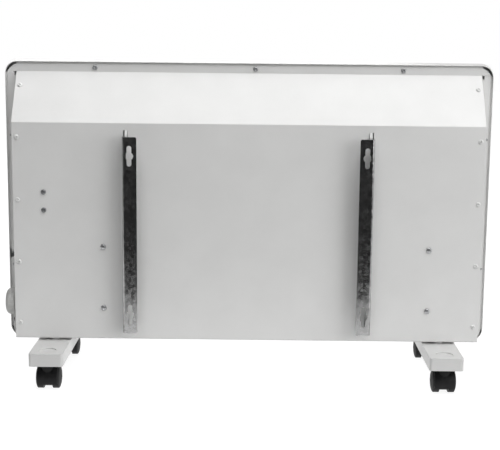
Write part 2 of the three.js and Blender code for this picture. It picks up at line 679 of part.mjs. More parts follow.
/** A keyhole with a slot at both ends, in (x, z). */
function keyhole(x, z) {
  const slot = KEYHOLE_SLOT / 2;
  const head = KEYHOLE_HEAD / 2;
  const end = KEYHOLE_LENGTH / 2 - slot;
  const meet = Math.asin(slot / head);
  const shape = new THREE.Shape();
  shape.absarc(x, z + end, slot, 0, Math.PI, false);
  shape.absarc(x, z, head, Math.PI / 2 + meet, Math.PI * 1.5 - meet, false);
  shape.absarc(x, z - end, slot, Math.PI, Math.PI * 2, false);
  shape.absarc(x, z, head, -Math.PI / 2 + meet, Math.PI / 2 - meet, false);
  shape.closePath();
  return shape;
}

function wallBracket(side) {
  const half = BRACKET_SHEET / 2;
  const outer = bracketOuterX - half;
  const section = foldedSheet([
    [side * (bracketOuterX - BRACKET_FACE), bracketFaceY - half],
    [side * outer, bracketFaceY - half],
    [side * outer, lipFaceY - half],
    [side * lipInnerX, lipFaceY - half],
  ], BRACKET_SHEET, BRACKET_BEND);
  const strip = alongZ(section, bracketLowZ, bracketTopZ);
  const keyholeX = side * (bracketOuterX - BRACKET_FACE / 2);
  const reach = KEYHOLE_END + KEYHOLE_LENGTH / 2;
  const keyholes = [bracketLowZ + reach, bracketTopZ - reach].map((z) => alongY(
    keyhole(keyholeX, z), bracketFaceY - BRACKET_SHEET - 1, bracketFaceY + 1));
  // The lower hook passes through this window and grips the lip below it
  const windowTopZ = lowerHookZ + SLIDE_TRAVEL + 1;
  const windowEdge = side * (lipInnerX + HOOK_SLOT_GAP + HOOK_WIDTH + SEAT);
  const lipEdge = side * (lipInnerX - 1);
  const windowCut = block(
    [Math.min(windowEdge, lipEdge), backY, lowerLipZ],
    [Math.max(windowEdge, lipEdge), lipFaceY + BRACKET_SHEET, windowTopZ]);
  return shaped(strip, [], [...keyholes, windowCut]);
}

// ----------------------------------------------------------------- legs

/** A block with round upright corners, closed at both ends. */
function roundedBlock(width, length, corner, z0, z1) {
  const ring = (z) => {
    const outline = roundedRectangle(width, length, corner).getPoints(3);
    outline.pop();
    return outline.map((point) => new THREE.Vector3(point.x, point.y, z));
  };
  return loft([ring(z1), ring(z0)]);
}

function leg() {
  const outer = roundedBlock(LEG_WIDTH, LEG_LENGTH, LEG_CORNER, legBottomZ, legTopZ);
  const inner = roundedBlock(
    LEG_WIDTH - 2 * LEG_SHEET, LEG_LENGTH - 2 * LEG_SHEET, LEG_CORNER - LEG_SHEET,
    legBottomZ - 1, legTopZ - LEG_SHEET);
  const sockets = [-1, 1].flatMap((end) => [
    bar(EMBOSS_RADIUS + LEG_SHEET, legTopZ - LEG_SHEET - EMBOSS_DEPTH, legTopZ - 0.5, 18)
      .translate(0, end * castorY, 0),
    bar(STEM_RADIUS + SOCKET_WALL, socketBottomZ, legTopZ - 0.6, 16)
      .translate(0, end * castorY, 0),
  ]);
  const seats = legScrewsY.map(
    (y) => bar(LEG_SEAT_RADIUS, legTopZ - LEG_SHEET / 2, legSeatZ, 16).translate(0, y, 0));
  const stemRoom = STEM_LENGTH + SEAT;
  const cuts = [-1, 1].flatMap((end) => [
    bar(EMBOSS_RADIUS, legTopZ - EMBOSS_DEPTH, legTopZ + 1, 18).translate(0, end * castorY, 0),
    bar(STEM_RADIUS + RUN, socketBottomZ - 1, socketBottomZ - SEAT + stemRoom, 16)
      .translate(0, end * castorY, 0),
  ]);
  legScrewsY.forEach((y) => {
    cuts.push(bar(LEG_SEAT_RADIUS - LEG_SHEET, legTopZ - LEG_SHEET - 1, legSeatZ - LEG_SHEET, 16)
      .translate(0, y, 0));
    cuts.push(screwHole(LEG_SCREW, legSeatZ - LEG_SHEET - 1, legSeatZ + 1).translate(0, y, 0));
  });
  // The slot that takes the front panel's lower lip
  cuts.push(block(
    [-LEG_WIDTH, panelFrontY - 2, panelBottomZ - 1.5], [LEG_WIDTH, lipY + 2, legTopZ + 1]));
  const shell = shaped(outer, [], [inner]);
  return shaped(shell, [...sockets, ...seats], cuts);
}

// -------------------------------------------------------------- castors

/** A sector of a disc or, with an inner radius, of a ring, in (y, z). */
function sector(radius, from, to, inner = 0) {
  const shape = new THREE.Shape();
  shape.absarc(0, 0, radius, from, to, false);
  if (inner > 0) {
    shape.absarc(0, 0, inner, to, from, true);
  }
  shape.closePath();
  return shape;
}

const degrees = THREE.MathUtils.degToRad;

/** The hood with its web, boss and stem; the axle is at the origin, the stem towards +Y. */
function castorHood() {
  const halfWidth = HOOD_WIDTH / 2;
  const shell = alongX(
    sector(hoodRadius, degrees(-20), degrees(150), hoodRadius - HOOD_WALL),
    -halfWidth, halfWidth, 9);
  const web = alongX(
    sector(hoodRadius - HOOD_WALL / 2, degrees(-20), degrees(150)),
    -CASTOR_WEB / 2, CASTOR_WEB / 2, 8);
  const cheek = toX(bar(WHEEL_RADIUS - 4, -CASTOR_WEB / 2, CASTOR_WEB / 2, 14));
  const top = socketBottomZ - SEAT - wheelCentreZ;
  const boss = shaped(
    bar(BOSS_RADIUS, hoodRadius / 2, top, 14).translate(0, CASTOR_TRAIL, 0), [],
    [toX(bar(hoodRadius - HOOD_WALL / 2, -BOSS_RADIUS - 1, BOSS_RADIUS + 1, 18))]);
  const stem = bar(STEM_RADIUS, top - 1, top + STEM_LENGTH - SEAT, 16)
    .translate(0, CASTOR_TRAIL, 0);
  const bore = toX(bar(AXLE_RADIUS + RUN, -CASTOR_WEB, CASTOR_WEB, 12));
  return shaped(shell, [web, cheek, boss, stem], [bore]);
}

/** A wheel with a flat tread and a domed outer face towards +X. */
function castorWheel() {
  const bore = AXLE_RADIUS + RUN;
  const tread = WHEEL_WIDTH * 0.66;
  const dome = new THREE.EllipseCurve(
    0, tread, WHEEL_RADIUS, WHEEL_WIDTH - tread, 0, Math.PI / 2).getPoints(4);
  const outside = dome.filter(({ x }) => x > bore).map(({ x, y }) => [x, y]);
  const profile = [[bore, 0], [WHEEL_RADIUS, 0], ...outside, [bore, WHEEL_WIDTH], [bore, 0]];
  const start = Math.PI / WHEEL_FACETS;
  return toX(turned(profile, WHEEL_FACETS, start));
}

// ------------------------------------------------- inside of the casing

function innerBaffle() {
  const half = BAFFLE_SHEET / 2;
  const footZ = floorSheetZ + SEAT + half;
  const footY = legScrewsY[0] - LEG_SCREW.shank - BAFFLE_TO_SCREW;
  const grilleLowZ = outletZ - OUTLET_HEIGHT / 2;
  const grilleBackY = sheetBackY + SEAT + GRILLE_SHEET + SEAT;
  const section = foldedSheet([
    [footY, footZ], [baffleY, footZ], [baffleY, grilleLowZ - 16],
    [grilleBackY + half, grilleLowZ - 3], [grilleBackY + half, grilleLowZ - GRILLE_OVERLAP + 6],
  ], BAFFLE_SHEET, 1.2);
  const reach = wallInnerX - SEAT;
  return alongX(section, -reach, reach);
}

/** The cross-shaped heating profile: four arms, each with a rib across it. */
function heatingElement() {
  const quarter = (turn) => {
    const c = Math.cos(turn);
    const s = Math.sin(turn);
    return (a, b) => new THREE.Vector2(middleY + a * c - b * s, elementZ + a * s + b * c);
  };
  const web = ELEMENT_WEB / 2;
  const arm = ELEMENT_ARM * Math.SQRT2;
  const rib = arm * 0.62;
  const points = [0, 1, 2, 3].flatMap((k) => {
    const at = quarter(Math.PI / 4 + (k * Math.PI) / 2);
    return [
      at(6, -web), at(rib - web, -web), at(rib - web, -FIN_LENGTH), at(rib + web, -FIN_LENGTH),
      at(rib + web, -web), at(arm, -web), at(arm, web), at(rib + web, web),
      at(rib + web, FIN_LENGTH), at(rib - web, FIN_LENGTH), at(rib - web, web), at(6, web),
    ];
  });
  const from = elementLeftX + ELEMENT_BRACKET_WIDTH;
  const to = elementRightX - ELEMENT_BRACKET_WIDTH;
  const stud = toX(bar(STUD_RADIUS, from - 24, to + 24, 12)).translate(0, middleY, elementZ);
  return shaped(alongX(new THREE.Shape(points), from, to), [stud]);
}

/** A bracket's upright plate stands on the element's side of its screw line. */
const elementPlateX = (side, x) => x - side * (ELEMENT_BRACKET_WIDTH / 2 - 0.5);

function elementBracket(side, x) {
  const plateX = elementPlateX(side, x);
  const far = x + side * (ELEMENT_BRACKET_WIDTH / 2);
  const half = 0.5;
  const section = foldedSheet([
    [far, innerFlangeY - half], [plateX, innerFlangeY - half], [plateX, baffleY + 4],
  ], 1, 1.5);
  const low = casingBottomZ + ELEMENT_SCREW_LOW - 10;
  const sheet = alongZ(section, low, low + ELEMENT_SCREW_PITCH + 20);
  const bushHole = toX(bar(BUSH_RADIUS + SEAT, plateX - 3, plateX + 3, 20));
  const holes = elementScrews.filter((place) => place.x === x).map(({ z }) => toY(
    screwHole(ELEMENT_SCREW, innerFlangeY - 4, innerFlangeY + 4)).translate(x, 0, z));
  return shaped(sheet, [], [bushHole.translate(0, middleY, elementZ), ...holes]);
}

/** The ceramic bush that carries one end of the element; its collar is on the element's side. */
function elementBush(side, x) {
  const bore = STUD_RADIUS + RUN;
  const collar = 4;
  const profile = [
    [bore, 0], [BUSH_COLLAR, 0], [BUSH_COLLAR, collar], [BUSH_RADIUS, collar],
    [BUSH_RADIUS, collar + 6], [bore, collar + 6], [bore, 0],
  ];
  const plateFace = elementPlateX(side, x) - side * 0.5;
  const bush = toX(turned(profile, 20));
  if (side < 0) {
    bush.rotateZ(Math.PI);
  }
  return bush.translate(plateFace - side * (SEAT + collar), middleY, elementZ);
}

/** A disc cut-out with two blade terminals, on the control side of the right-hand bracket. */
function thermalCutout() {
  const face = elementPlateX(1, elementRightX) + 0.5 + SEAT;
  const z = casingBottomZ + ELEMENT_SCREW_LOW + ELEMENT_SCREW_PITCH - 14;
  const disc = toX(turned([
    [0, 0], [CUTOUT_RADIUS + 2, 0], [CUTOUT_RADIUS + 2, 1], [CUTOUT_RADIUS, 1.5],
    [CUTOUT_RADIUS, CUTOUT_HEIGHT], [0, CUTOUT_HEIGHT],
  ], 20));
  const blades = [-4, 4].map((y) => block(
    [CUTOUT_HEIGHT - 1, y - 0.4, -3], [CUTOUT_HEIGHT + 8, y + 0.4, 3]));
  return shaped(disc, blades).translate(face, middleY, z);
}

function tipOverSwitch() {
  const { width, depth, height } = TIP_SWITCH;
  const outline = new THREE.Shape();
  const back = innerBackY - SEAT;
  outline.moveTo(back, tipSwitchZ - height / 2);
  outline.lineTo(back, tipSwitchZ + height / 2);
  outline.lineTo(back - depth + 6, tipSwitchZ + height / 2);
  outline.lineTo(back - depth, tipSwitchZ + height / 2 - 8);
  outline.lineTo(back - depth, tipSwitchZ - height / 2 + 8);
  outline.lineTo(back - depth + 6, tipSwitchZ - height / 2);
  outline.closePath();
  const body = alongX(outline, switchScrewX - width / 2, switchScrewX + width / 2);
  const holes = tipSwitchScrews.map(({ x, z }) => toY(
    screwHole(SHEET_SCREW, back - SHEET_SCREW.length, back + 1)).translate(x, 0, z));
  const blades = [-5, 5].map((dz) => block(
    [switchScrewX - 3, back - depth - 7, tipSwitchZ + dz - 0.4],
    [switchScrewX + 3, back - depth + 1, tipSwitchZ + dz + 0.4]));
  return shaped(body, blades, holes);
}

function terminalBlock() {
  const { width, depth, height } = TERMINAL;
  const low = floorSheetZ + SEAT;
  const base = block(
    [terminalX - width / 2, middleY - depth / 2, low],
    [terminalX + width / 2, middleY + depth / 2, low + height * 0.6]);
  const towers = [-1, 0, 1].map((i) => block(
    [terminalX + i * 10 - 3.6, middleY - depth / 4, low + 2],
    [terminalX + i * 10 + 3.6, middleY + depth / 4, low + height]));
  const wells = [-1, 0, 1].map((i) => bar(1.8, low + height * 0.5, low + height + 1, 10)
    .translate(terminalX + i * 10, middleY, 0));
  const wireHoles = [-1, 0, 1].map((i) => toY(bar(1.4, -depth, depth, 10))
    .translate(terminalX + i * 10, middleY, low + height * 0.35));
  return shaped(base, towers, [...wells, ...wireHoles]);
}

function cableGland() {
  const bore = 4;
  const flange = GLAND_RADIUS + 3;
  const under = casingBottomZ - SEAT;
  const above = floorSheetZ + SEAT;
  const profile = [
    [bore, under - GLAND_DROP], [flange - 1, under - GLAND_DROP],
    [flange, under - GLAND_DROP + 1], [flange, under],
    [GLAND_RADIUS, under], [GLAND_RADIUS, above], [flange, above], [flange, above + 4],
    [GLAND_RADIUS, above + 5], [GLAND_RADIUS, above + 9], [bore, above + 9],
    [bore, under - GLAND_DROP],
  ];
  return turned(profile, 20).translate(glandX, middleY, 0);
}

// ------------------------------------------------------------- controls

/** A flat piece drawn in (y, z) with round corners, drawn out along X. */
function sidePlate(depth, height, corner, x0, x1, y, z) {
  return alongX(roundedRectangle(depth, height, corner, y, z), x0, x1);
}

function controlPlate() {
  const { margin, height, thickness, corner } = CONTROL_PLATE;
  const depth = backY - lipY - 2 * margin;
  const low = casingBottomZ + CONTROL_PLATE_LOW;
  const x0 = wallOuterX + SEAT;
  const plate = sidePlate(
    depth, height, corner, x0, x0 + thickness, middleY, low + height / 2);
  const shaftHole = toX(bar(SHAFT_RADIUS + 1, x0 - 1, x0 + thickness + 1));
  const w = SWITCH_BODY.width / 2 + SEAT;
  const h = SWITCH_BODY.height / 2 + SEAT;
  const switchHole = block(
    [x0 - 1, middleY - w, rockerZ - h], [x0 + thickness + 1, middleY + w, rockerZ + h]);
  return shaped(plate, [], [shaftHole.translate(0, middleY, knobZ), switchHole]);
}

function thermostat() {
  const { depth, height, width } = THERMOSTAT;
  const x1 = wallInnerX - SEAT;
  const body = sidePlate(depth, height, 3, x1 - width, x1, middleY, knobZ);
  const bore = toX(bar(SHAFT_RADIUS + RUN, x1 - width * 0.6, x1 + 1, 20));
  const blades = [-8, 8].map((y) => block(
    [x1 - width - 8, middleY + y - 3, knobZ - 0.4],
    [x1 - width + 1, middleY + y + 3, knobZ + 0.4]));
  return shaped(body, blades, [bore.translate(0, middleY, knobZ)]);
}

function thermostatShaft() {
  const from = wallInnerX - SEAT - THERMOSTAT.width * 0.6 + SEAT;
  const to = knobX + KNOB_DEPTH - KNOB_WALL - SEAT;
  const rod = toX(bar(SHAFT_RADIUS, from, to, 20));
  const flat = block(
    [knobX + 2, -SHAFT_RADIUS - 1, SHAFT_RADIUS * 0.5], [to + 1, SHAFT_RADIUS + 1, SHAFT_RADIUS + 1]);
  return shaped(rod, [], [flat]).translate(0, middleY, knobZ);
}

/** A knob with a rounded rim, grip flutes, a pointer groove, and a hub over the shaft's flat. */
function thermostatKnob() {
  const rim = new THREE.EllipseCurve(
    knobRadius - KNOB_CROWN, KNOB_DEPTH - KNOB_CROWN, KNOB_CROWN, KNOB_CROWN, 0, Math.PI / 2).getPoints(4);
  const outside = [[0, 0], [knobRadius, 0], ...rim.map(({ x, y }) => [x, y]), [0, KNOB_DEPTH]];
  const body = turned(outside, 28);
  const hollow = turned([
    [SHAFT_RADIUS + 3, -1], [knobRadius - KNOB_WALL, -1],
    [knobRadius - KNOB_WALL, KNOB_DEPTH - KNOB_CROWN - 1],
    [knobRadius - KNOB_CROWN, KNOB_DEPTH - KNOB_WALL],
    [SHAFT_RADIUS + 3, KNOB_DEPTH - KNOB_WALL], [SHAFT_RADIUS + 3, -1],
  ], 18);
  const boreTop = KNOB_DEPTH - KNOB_WALL;
  const bore = shaped(
    bar(SHAFT_RADIUS + RUN, -1, boreTop, 20), [],
    [block([-9, -9, 2 + SEAT], [-SHAFT_RADIUS * 0.5 - RUN, 9, boreTop + 1])]);
  const pointer = block([-knobRadius, -0.9, KNOB_DEPTH - 0.8], [-5, 0.9, KNOB_DEPTH + 1]);
  const knob = shaped(body, [], [hollow, bore, pointer]);
  return toX(knob).translate(knobX, middleY, knobZ);
}

function switchHousing() {
  const bezel = sidePlate(
    BEZEL.width, BEZEL.height, 2, bezelX, bezelX + BEZEL.thickness, middleY, rockerZ);
  const w = SWITCH_BODY.width / 2;
  const h = SWITCH_BODY.height / 2;
  const body = block(
    [bezelX - SWITCH_BODY.depth, middleY - w, rockerZ - h],
    [bezelX + 1, middleY + w, rockerZ + h]);
  const pocket = block(
    [bezelX - 7, middleY - ROCKER.width / 2 - 0.2, rockerZ - ROCKER.height / 2 - 0.5],
    [bezelX + 9, middleY + ROCKER.width / 2 + 0.2, rockerZ + ROCKER.height / 2 + 0.5]);
  const blades = [-5, 5].map((dz) => block(
    [bezelX - SWITCH_BODY.depth - 8, middleY - 3, rockerZ + dz - 0.4],
    [bezelX - SWITCH_BODY.depth + 1, middleY + 3, rockerZ + dz + 0.4]));
  return shaped(bezel, [body, ...blades], [pocket]);
}

/** The rocker, a shallow V that is pressed in at its lower end. */
function powerRocker() {
  const { width, height, rise, tilt } = ROCKER;
  const half = height / 2;
  const face = new THREE.Shape([
    new THREE.Vector2(-half * 0.62, -4), new THREE.Vector2(half * 0.62, -4),
    new THREE.Vector2(half * 0.94, rise), new THREE.Vector2(0, rise - 0.9),
    new THREE.Vector2(-half * 0.94, rise),
  ]);
  const rocker = alongZ(face, -width / 2, width / 2);
  // The drawing's own axes turn so that its height points out of the side wall
  const turn = new THREE.Matrix4().makeBasis(
    new THREE.Vector3(0, 0, 1), new THREE.Vector3(1, 0, 0), new THREE.Vector3(0, 1, 0));
  rocker.applyMatrix4(turn).rotateY(degrees(tilt));
  return rocker.translate(bezelX, middleY, rockerZ);
}

// ------------------------------------------------------------- assembly

const heater = new THREE.Group();

/** Puts a named piece into the heater, or into a group of it. */
function place(name, geometry, material, parent = heater) {
  const mesh = new THREE.Mesh(geometry, material);
  mesh.name = name;
  parent.add(mesh);
  return mesh;
}

place('front_panel', frontPanel(), whitePaint);
place('outlet_grille', outletGrille(), whitePaint);
place('rear_cover', rearCover(), whitePaint);
place('right_side_wall', rightSideWall(), whitePaint);
place('left_side_wall', sideWall(-1, []), whitePaint);
place('inner_baffle', innerBaffle(), innerSteel);

place('heating_element', heatingElement(), aluminium);
place('element_bracket_right', elementBracket(1, elementRightX), innerSteel);
place('element_bracket_left', elementBracket(-1, elementLeftX), innerSteel);
place('element_bush_right', elementBush(1, elementRightX), ceramic);
place('element_bush_left', elementBush(-1, elementLeftX), ceramic);
place('thermal_cutout', thermalCutout(), zinc);
place('tip_over_switch', tipOverSwitch(), blackPlastic);
place('terminal_block', terminalBlock(), ceramic);
place('cable_gland', cableGland(), blackPlastic);

place('control_plate', controlPlate(), greyPlastic);
place('thermostat', thermostat(), blackPlastic);
place('thermostat_shaft', thermostatShaft(), zinc);
place('thermostat_knob', thermostatKnob(), greyPlastic);
place('switch_housing', switchHousing(), blackPlastic);
place('power_rocker', powerRocker(), blackPlastic);

place('wall_bracket_right', wallBracket(1), galvanised);
place('wall_bracket_left', wallBracket(-1), galvanised);

panelScrewsX.forEach((x, i) => {
  const head = place(`panel_screw_${i + 1}`, toY(screw(SHEET_SCREW)), whitePaint);
  head.position.set(x, flangeY + SEAT, flangeScrewZ);
});
elementScrews.forEach(({ x, z }, i) => {
  const head = place(`element_screw_${i + 1}`, toY(screw(ELEMENT_SCREW)), zinc);
  head.position.set(x, backY + SEAT, z);
});
tipSwitchScrews.forEach(({ x, z }, i) => {
  const head = place(`tip_switch_screw_${i + 1}`, toY(screw(SHEET_SCREW)), blackSteel);
  head.position.set(x, backY + SEAT, z);
});

[['left', -1], ['right', 1]].forEach(([sideName, side]) => {
  const base = new THREE.Group();
  base.position.x = side * legX;
  heater.add(base);
  place(`leg_${sideName}`, leg(), whitePaint, base);
  legScrewsY.forEach((y, i) => {
    const bolt = place(`leg_screw_${sideName}_${i + 1}`, screw(LEG_SCREW), zinc, base);
    bolt.rotation.x = Math.PI;
    bolt.position.set(0, y, legSeatZ - LEG_SHEET - SEAT);
  });
  [['front', -1], ['rear', 1]].forEach(([endName, end]) => {
    // Each castor stands with its wheels turned in under the heater
    const castor = new THREE.Group();
    castor.position.set(0, end * (castorY - CASTOR_TRAIL), wheelCentreZ);
    castor.rotation.z = end > 0 ? 0 : Math.PI;
    base.add(castor);
    const name = `castor_${endName}_${sideName}`;
    place(`${name}_hood`, castorHood(), blackPlastic, castor);
    const axleHalf = castorWidth / 2 - 1.2;
    place(`${name}_axle`, toX(bar(AXLE_RADIUS, -axleHalf, axleHalf, 12)), zinc, castor);
    ['left', 'right'].forEach((wheelName) => {
      const wheel = place(`${name}_wheel_${wheelName}`, castorWheel(), blackPlastic, castor);
      const outward = (wheelName === 'right' ? 1 : -1) * (end > 0 ? 1 : -1);
      wheel.position.x = outward * (CASTOR_WEB / 2 + SEAT);
      wheel.rotation.z = outward > 0 ? 0 : Math.PI;
    });
  });
});

export default heater;
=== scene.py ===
# %% [markdown]
# # A wall panel convector heater, seen from the back
# The heater is a shallow tray of painted sheet steel with a folded casing behind it. It stands on
# two pressed legs with four twin-wheel castors, and two galvanised strips on its back hang it on a wall.
# The construction is already there as solids, so this lesson makes what the solids leave out: fine
# round forms, screw heads with their cross recesses, and the finish of every surface.

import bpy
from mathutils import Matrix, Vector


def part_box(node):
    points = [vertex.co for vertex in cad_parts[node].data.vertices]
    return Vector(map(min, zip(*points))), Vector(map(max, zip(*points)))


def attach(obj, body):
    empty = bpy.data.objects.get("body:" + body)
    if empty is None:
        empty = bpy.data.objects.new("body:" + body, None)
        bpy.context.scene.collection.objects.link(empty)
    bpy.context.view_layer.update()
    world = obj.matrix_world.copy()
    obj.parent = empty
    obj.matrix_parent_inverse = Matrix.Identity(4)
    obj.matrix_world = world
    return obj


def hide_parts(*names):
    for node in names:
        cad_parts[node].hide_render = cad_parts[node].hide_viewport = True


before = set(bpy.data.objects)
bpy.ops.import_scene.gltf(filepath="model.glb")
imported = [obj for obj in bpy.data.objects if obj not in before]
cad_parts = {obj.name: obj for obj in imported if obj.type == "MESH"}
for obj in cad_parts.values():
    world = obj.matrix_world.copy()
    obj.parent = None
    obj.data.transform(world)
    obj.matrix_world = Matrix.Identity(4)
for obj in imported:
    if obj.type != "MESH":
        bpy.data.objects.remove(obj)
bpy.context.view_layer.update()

# %% [markdown]
# ## Small tools for surfaces
# A round or folded piece is a surface with two directions: along its profile, and round or along its
# path. A grid of points worked out as one numpy array holds such a surface, and the same few lines
# turn any grid into faces. A shape made this way is exact, and it can be made finer with one number.

# %% Grids of points and their faces
import bpy
import bmesh
import numpy as np
from mathutils import Matrix, Vector
from mathutils.geometry import tessellate_polygon

MM = 0.001


def lattice(rows, columns, wrap_rows=False, wrap_columns=True):
    """Quads of a grid whose point in row r and column c is number r times columns plus c.
    A wrapped direction also joins its last line of points to its first."""
    row = np.arange(rows if wrap_rows else rows - 1)[:, None]
    column = np.arange(columns if wrap_columns else columns - 1)[None, :]
    next_row, next_column = (row + 1) % rows, (column + 1) % columns
    corners = (row * columns + column, row * columns + next_column,
               next_row * columns + next_column, next_row * columns + column)
    return np.stack([c + 0 * row * column for c in corners], -1).reshape(-1, 4)


def arc(radius, start, end, steps, centre=(0, 0)):
    """Points of a circular arc: centre plus radius times (cos, sin) of evenly spaced angles in degrees."""
    angle = np.radians(np.linspace(start, end, steps + 1))
    return np.stack([centre[0] + radius * np.cos(angle), centre[1] + radius * np.sin(angle)], -1)


def rounded(corners, radius, steps=4):
    """A closed outline with its corners rounded: each corner becomes a parabola that starts and ends
    the radius away from it, (1-t)^2 a + 2t(1-t) corner + t^2 b."""
    corners = np.asarray(corners, float)
    before, after = np.roll(corners, 1, 0) - corners, np.roll(corners, -1, 0) - corners
    reach = np.broadcast_to(np.asarray(radius, float), len(corners))[:, None]
    a = corners + before / np.linalg.norm(before, axis=1)[:, None] * reach
    b = corners + after / np.linalg.norm(after, axis=1)[:, None] * reach
    t = np.linspace(0, 1, steps + 1)[None, :, None]
    curve = (1 - t) ** 2 * a[:, None] + 2 * t * (1 - t) * corners[:, None] + t ** 2 * b[:, None]
    return curve.reshape(-1, 2)


def spun(profile, steps, closed=False):
    """A profile of (radius, height) turned round the Z axis: x = r cos t, y = r sin t, z = h."""
    profile = np.asarray(profile, float)
    t = np.linspace(0, 2 * np.pi, steps, endpoint=False)
    points = np.stack([profile[:, :1] * np.cos(t), profile[:, :1] * np.sin(t),
                       np.repeat(profile[:, 1:], steps, 1)], -1)
    return points.reshape(-1, 3), lattice(len(profile), steps, wrap_rows=closed).tolist()


def prism(outline, low, high):
    """An outline in (y, z) carried along X from low to high, with a flat face at each end."""
    outline = np.asarray(outline, float)
    count = len(outline)
    ends = [np.column_stack([np.full(count, x), outline]) for x in (low, high)]
    faces = lattice(2, count).tolist() + [list(range(count)), list(range(count, 2 * count))]
    return np.concatenate(ends), faces


print("a 4 by 6 grid has", len(lattice(4, 6, True)), "faces when it closes both ways")

# %% [markdown]
# A surface becomes a piece of the object when its doubled points are merged, its faces are turned
# outwards, and it rides on the body that carries it. Where two faces meet at less than 30 degrees the
# shading runs smoothly across, as it does over a bend, and a sharper meeting stays an edge.

# %% From surfaces to a named piece
SMOOTH_BELOW = np.radians(30)
MERGE_WITHIN, NO_LENGTH = 1e-3 * MM, 1e-4 * MM


def finish_mesh(mesh):
    """Merge points closer than a thousandth of a millimetre, and turn every face outwards."""
    edit = bmesh.new()
    edit.from_mesh(mesh)
    bmesh.ops.remove_doubles(edit, verts=edit.verts, dist=MERGE_WITHIN)
    bmesh.ops.dissolve_degenerate(edit, edges=edit.edges, dist=NO_LENGTH)
    bmesh.ops.recalc_face_normals(edit, faces=edit.faces)
    edit.to_mesh(mesh)
    edit.free()
    mesh.shade_smooth()
    mesh.set_sharp_from_angle(angle=SMOOTH_BELOW)


def piece(name, surfaces, body, material, replaces=()):
    """Join surfaces, each given in millimetres as (points, faces), into one named piece on a body."""
    points, faces, start = [], [], 0
    for surface_points, surface_faces in surfaces:
        points.append(surface_points)
        faces.extend([[i + start for i in face] for face in surface_faces])
        start += len(surface_points)
    mesh = bpy.data.meshes.new(name)
    mesh.from_pydata((np.concatenate(points) * MM).tolist(), [], faces)
    finish_mesh(mesh)
    obj = bpy.data.objects.new(name, mesh)
    bpy.context.scene.collection.objects.link(obj)
    mesh.materials.append(material)
    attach(obj, body)
    if replaces:
        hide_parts(*replaces)
    return obj


def placed(surface, centre, x=(1, 0, 0), y=(0, 1, 0), z=(0, 0, 1)):
    """A surface turned so that its own axes lie along x, y and z, and then moved to centre."""
    points, faces = surface
    return points @ np.array([x, y, z], float) + np.asarray(centre, float), faces


def centre_of(node):
    """The middle of a node's box, in millimetres."""
    low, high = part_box(node)
    return np.array((low + high) / 2) / MM


print("castor stands at", centre_of("castor_rear_left_hood").round(1), "mm")

# %% [markdown]
# ## Tools for materials
# Colours are written as sRGB hex values, as a paint chart gives them. A renderer calculates with
# linear light, so one function converts them. Each material is a small graph of nodes, and one
# function adds a node, sets it up and links it.

# %% Colour and node helpers
def linear(code):
    """An sRGB hex colour as linear red, green, blue and alpha: c/12.92 when dark, else
    ((c + 0.055)/1.055)^2.4."""
    c = np.array([int(code[i:i + 2], 16) for i in (0, 2, 4)]) / 255
    light = np.where(c <= 0.04045, c / 12.92, ((c + 0.055) / 1.055) ** 2.4)
    return (*light.tolist(), 1.0)


def add(tree, kind, inputs=None, **settings):
    """Add a node of a kind, set its properties, and give each named input a value or a link."""
    made = tree.nodes.new(kind)
    for name, value in settings.items():
        setattr(made, name, value)
    for name, value in (inputs or {}).items():
        if isinstance(value, bpy.types.NodeSocket):
            tree.links.new(value, made.inputs[name])
        else:
            made.inputs[name].default_value = value
    return made


def start_material(name):
    """An empty material, its node tree, and the Object coordinates that every pattern here uses."""
    material = bpy.data.materials.new(name)
    material.use_nodes = True
    tree = material.node_tree
    tree.nodes.clear()
    place = add(tree, "ShaderNodeTexCoord").outputs["Object"]
    return material, tree, place


def finish_material(tree, colour, roughness, height, depth_mm, edge_mm=0.0, **surface):
    """End a material in a Principled surface. The height pattern becomes bumps of the given depth, and
    sharp edges shade as if they were rounded to edge_mm."""
    inputs = {"Base Color": colour, "Roughness": roughness}
    inputs.update({name.replace("_", " "): value for name, value in surface.items()})
    bump = add(tree, "ShaderNodeBump", {"Height": height, "Strength": 1.0, "Distance": depth_mm * MM})
    if edge_mm:
        edge = add(tree, "ShaderNodeBevel", {"Radius": edge_mm * MM}, samples=6)
        tree.links.new(edge.outputs["Normal"], bump.inputs["Normal"])
    inputs["Normal"] = bump.outputs["Normal"]
    shader = add(tree, "ShaderNodeBsdfPrincipled", inputs)
    add(tree, "ShaderNodeOutputMaterial", {"Surface": shader.outputs["BSDF"]})


def noise(tree, place, size_mm, detail=2.0, rough=0.5):
    """Cloudy noise whose blotches are about size_mm across."""
    return add(tree, "ShaderNodeTexNoise",
               {"Vector": place, "Scale": 1 / (size_mm * MM), "Detail": detail,
                "Roughness": rough}).outputs["Fac"]


def ramp(tree, factor, low, high, from_min=0.0, from_max=1.0):
    """Map a factor between from_min and from_max to the range low to high, and stop at its ends."""
    return add(tree, "ShaderNodeMapRange",
               {"Value": factor, "From Min": from_min, "From Max": from_max,
                "To Min": low, "To Max": high}).outputs["Result"]


def blend(tree, factor, first, second):
    """Mix two colours, each a hex code or a link, by a factor: (1 - f) first + f second."""
    mix = add(tree, "ShaderNodeMix", data_type="RGBA")
    ends = {0: factor, 6: first, 7: second}
    for index, value in ends.items():
        if isinstance(value, str):
            value = linear(value)
        if isinstance(value, bpy.types.NodeSocket):
            tree.links.new(value, mix.inputs[index])
        else:
            mix.inputs[index].default_value = value
    return mix.outputs[2]


print("white paint, linear:", [round(v, 3) for v in linear("EBEBEA")[:3]])

# %% [markdown]
# ### Powder coat
# The casing, panel and legs are steel with a white polyester powder coat. The powder melts in an
# oven and levels almost flat, but it keeps a slight orange peel with waves of one to two
# millimetres. To the eye that gives a semi-gloss white whose reflections have soft, uneven edges.
# A bump from fine noise makes the peel. A much larger noise changes the roughness a little, where
# hands and cloths have been. The legs look slightly greyer than the casing in the photograph.

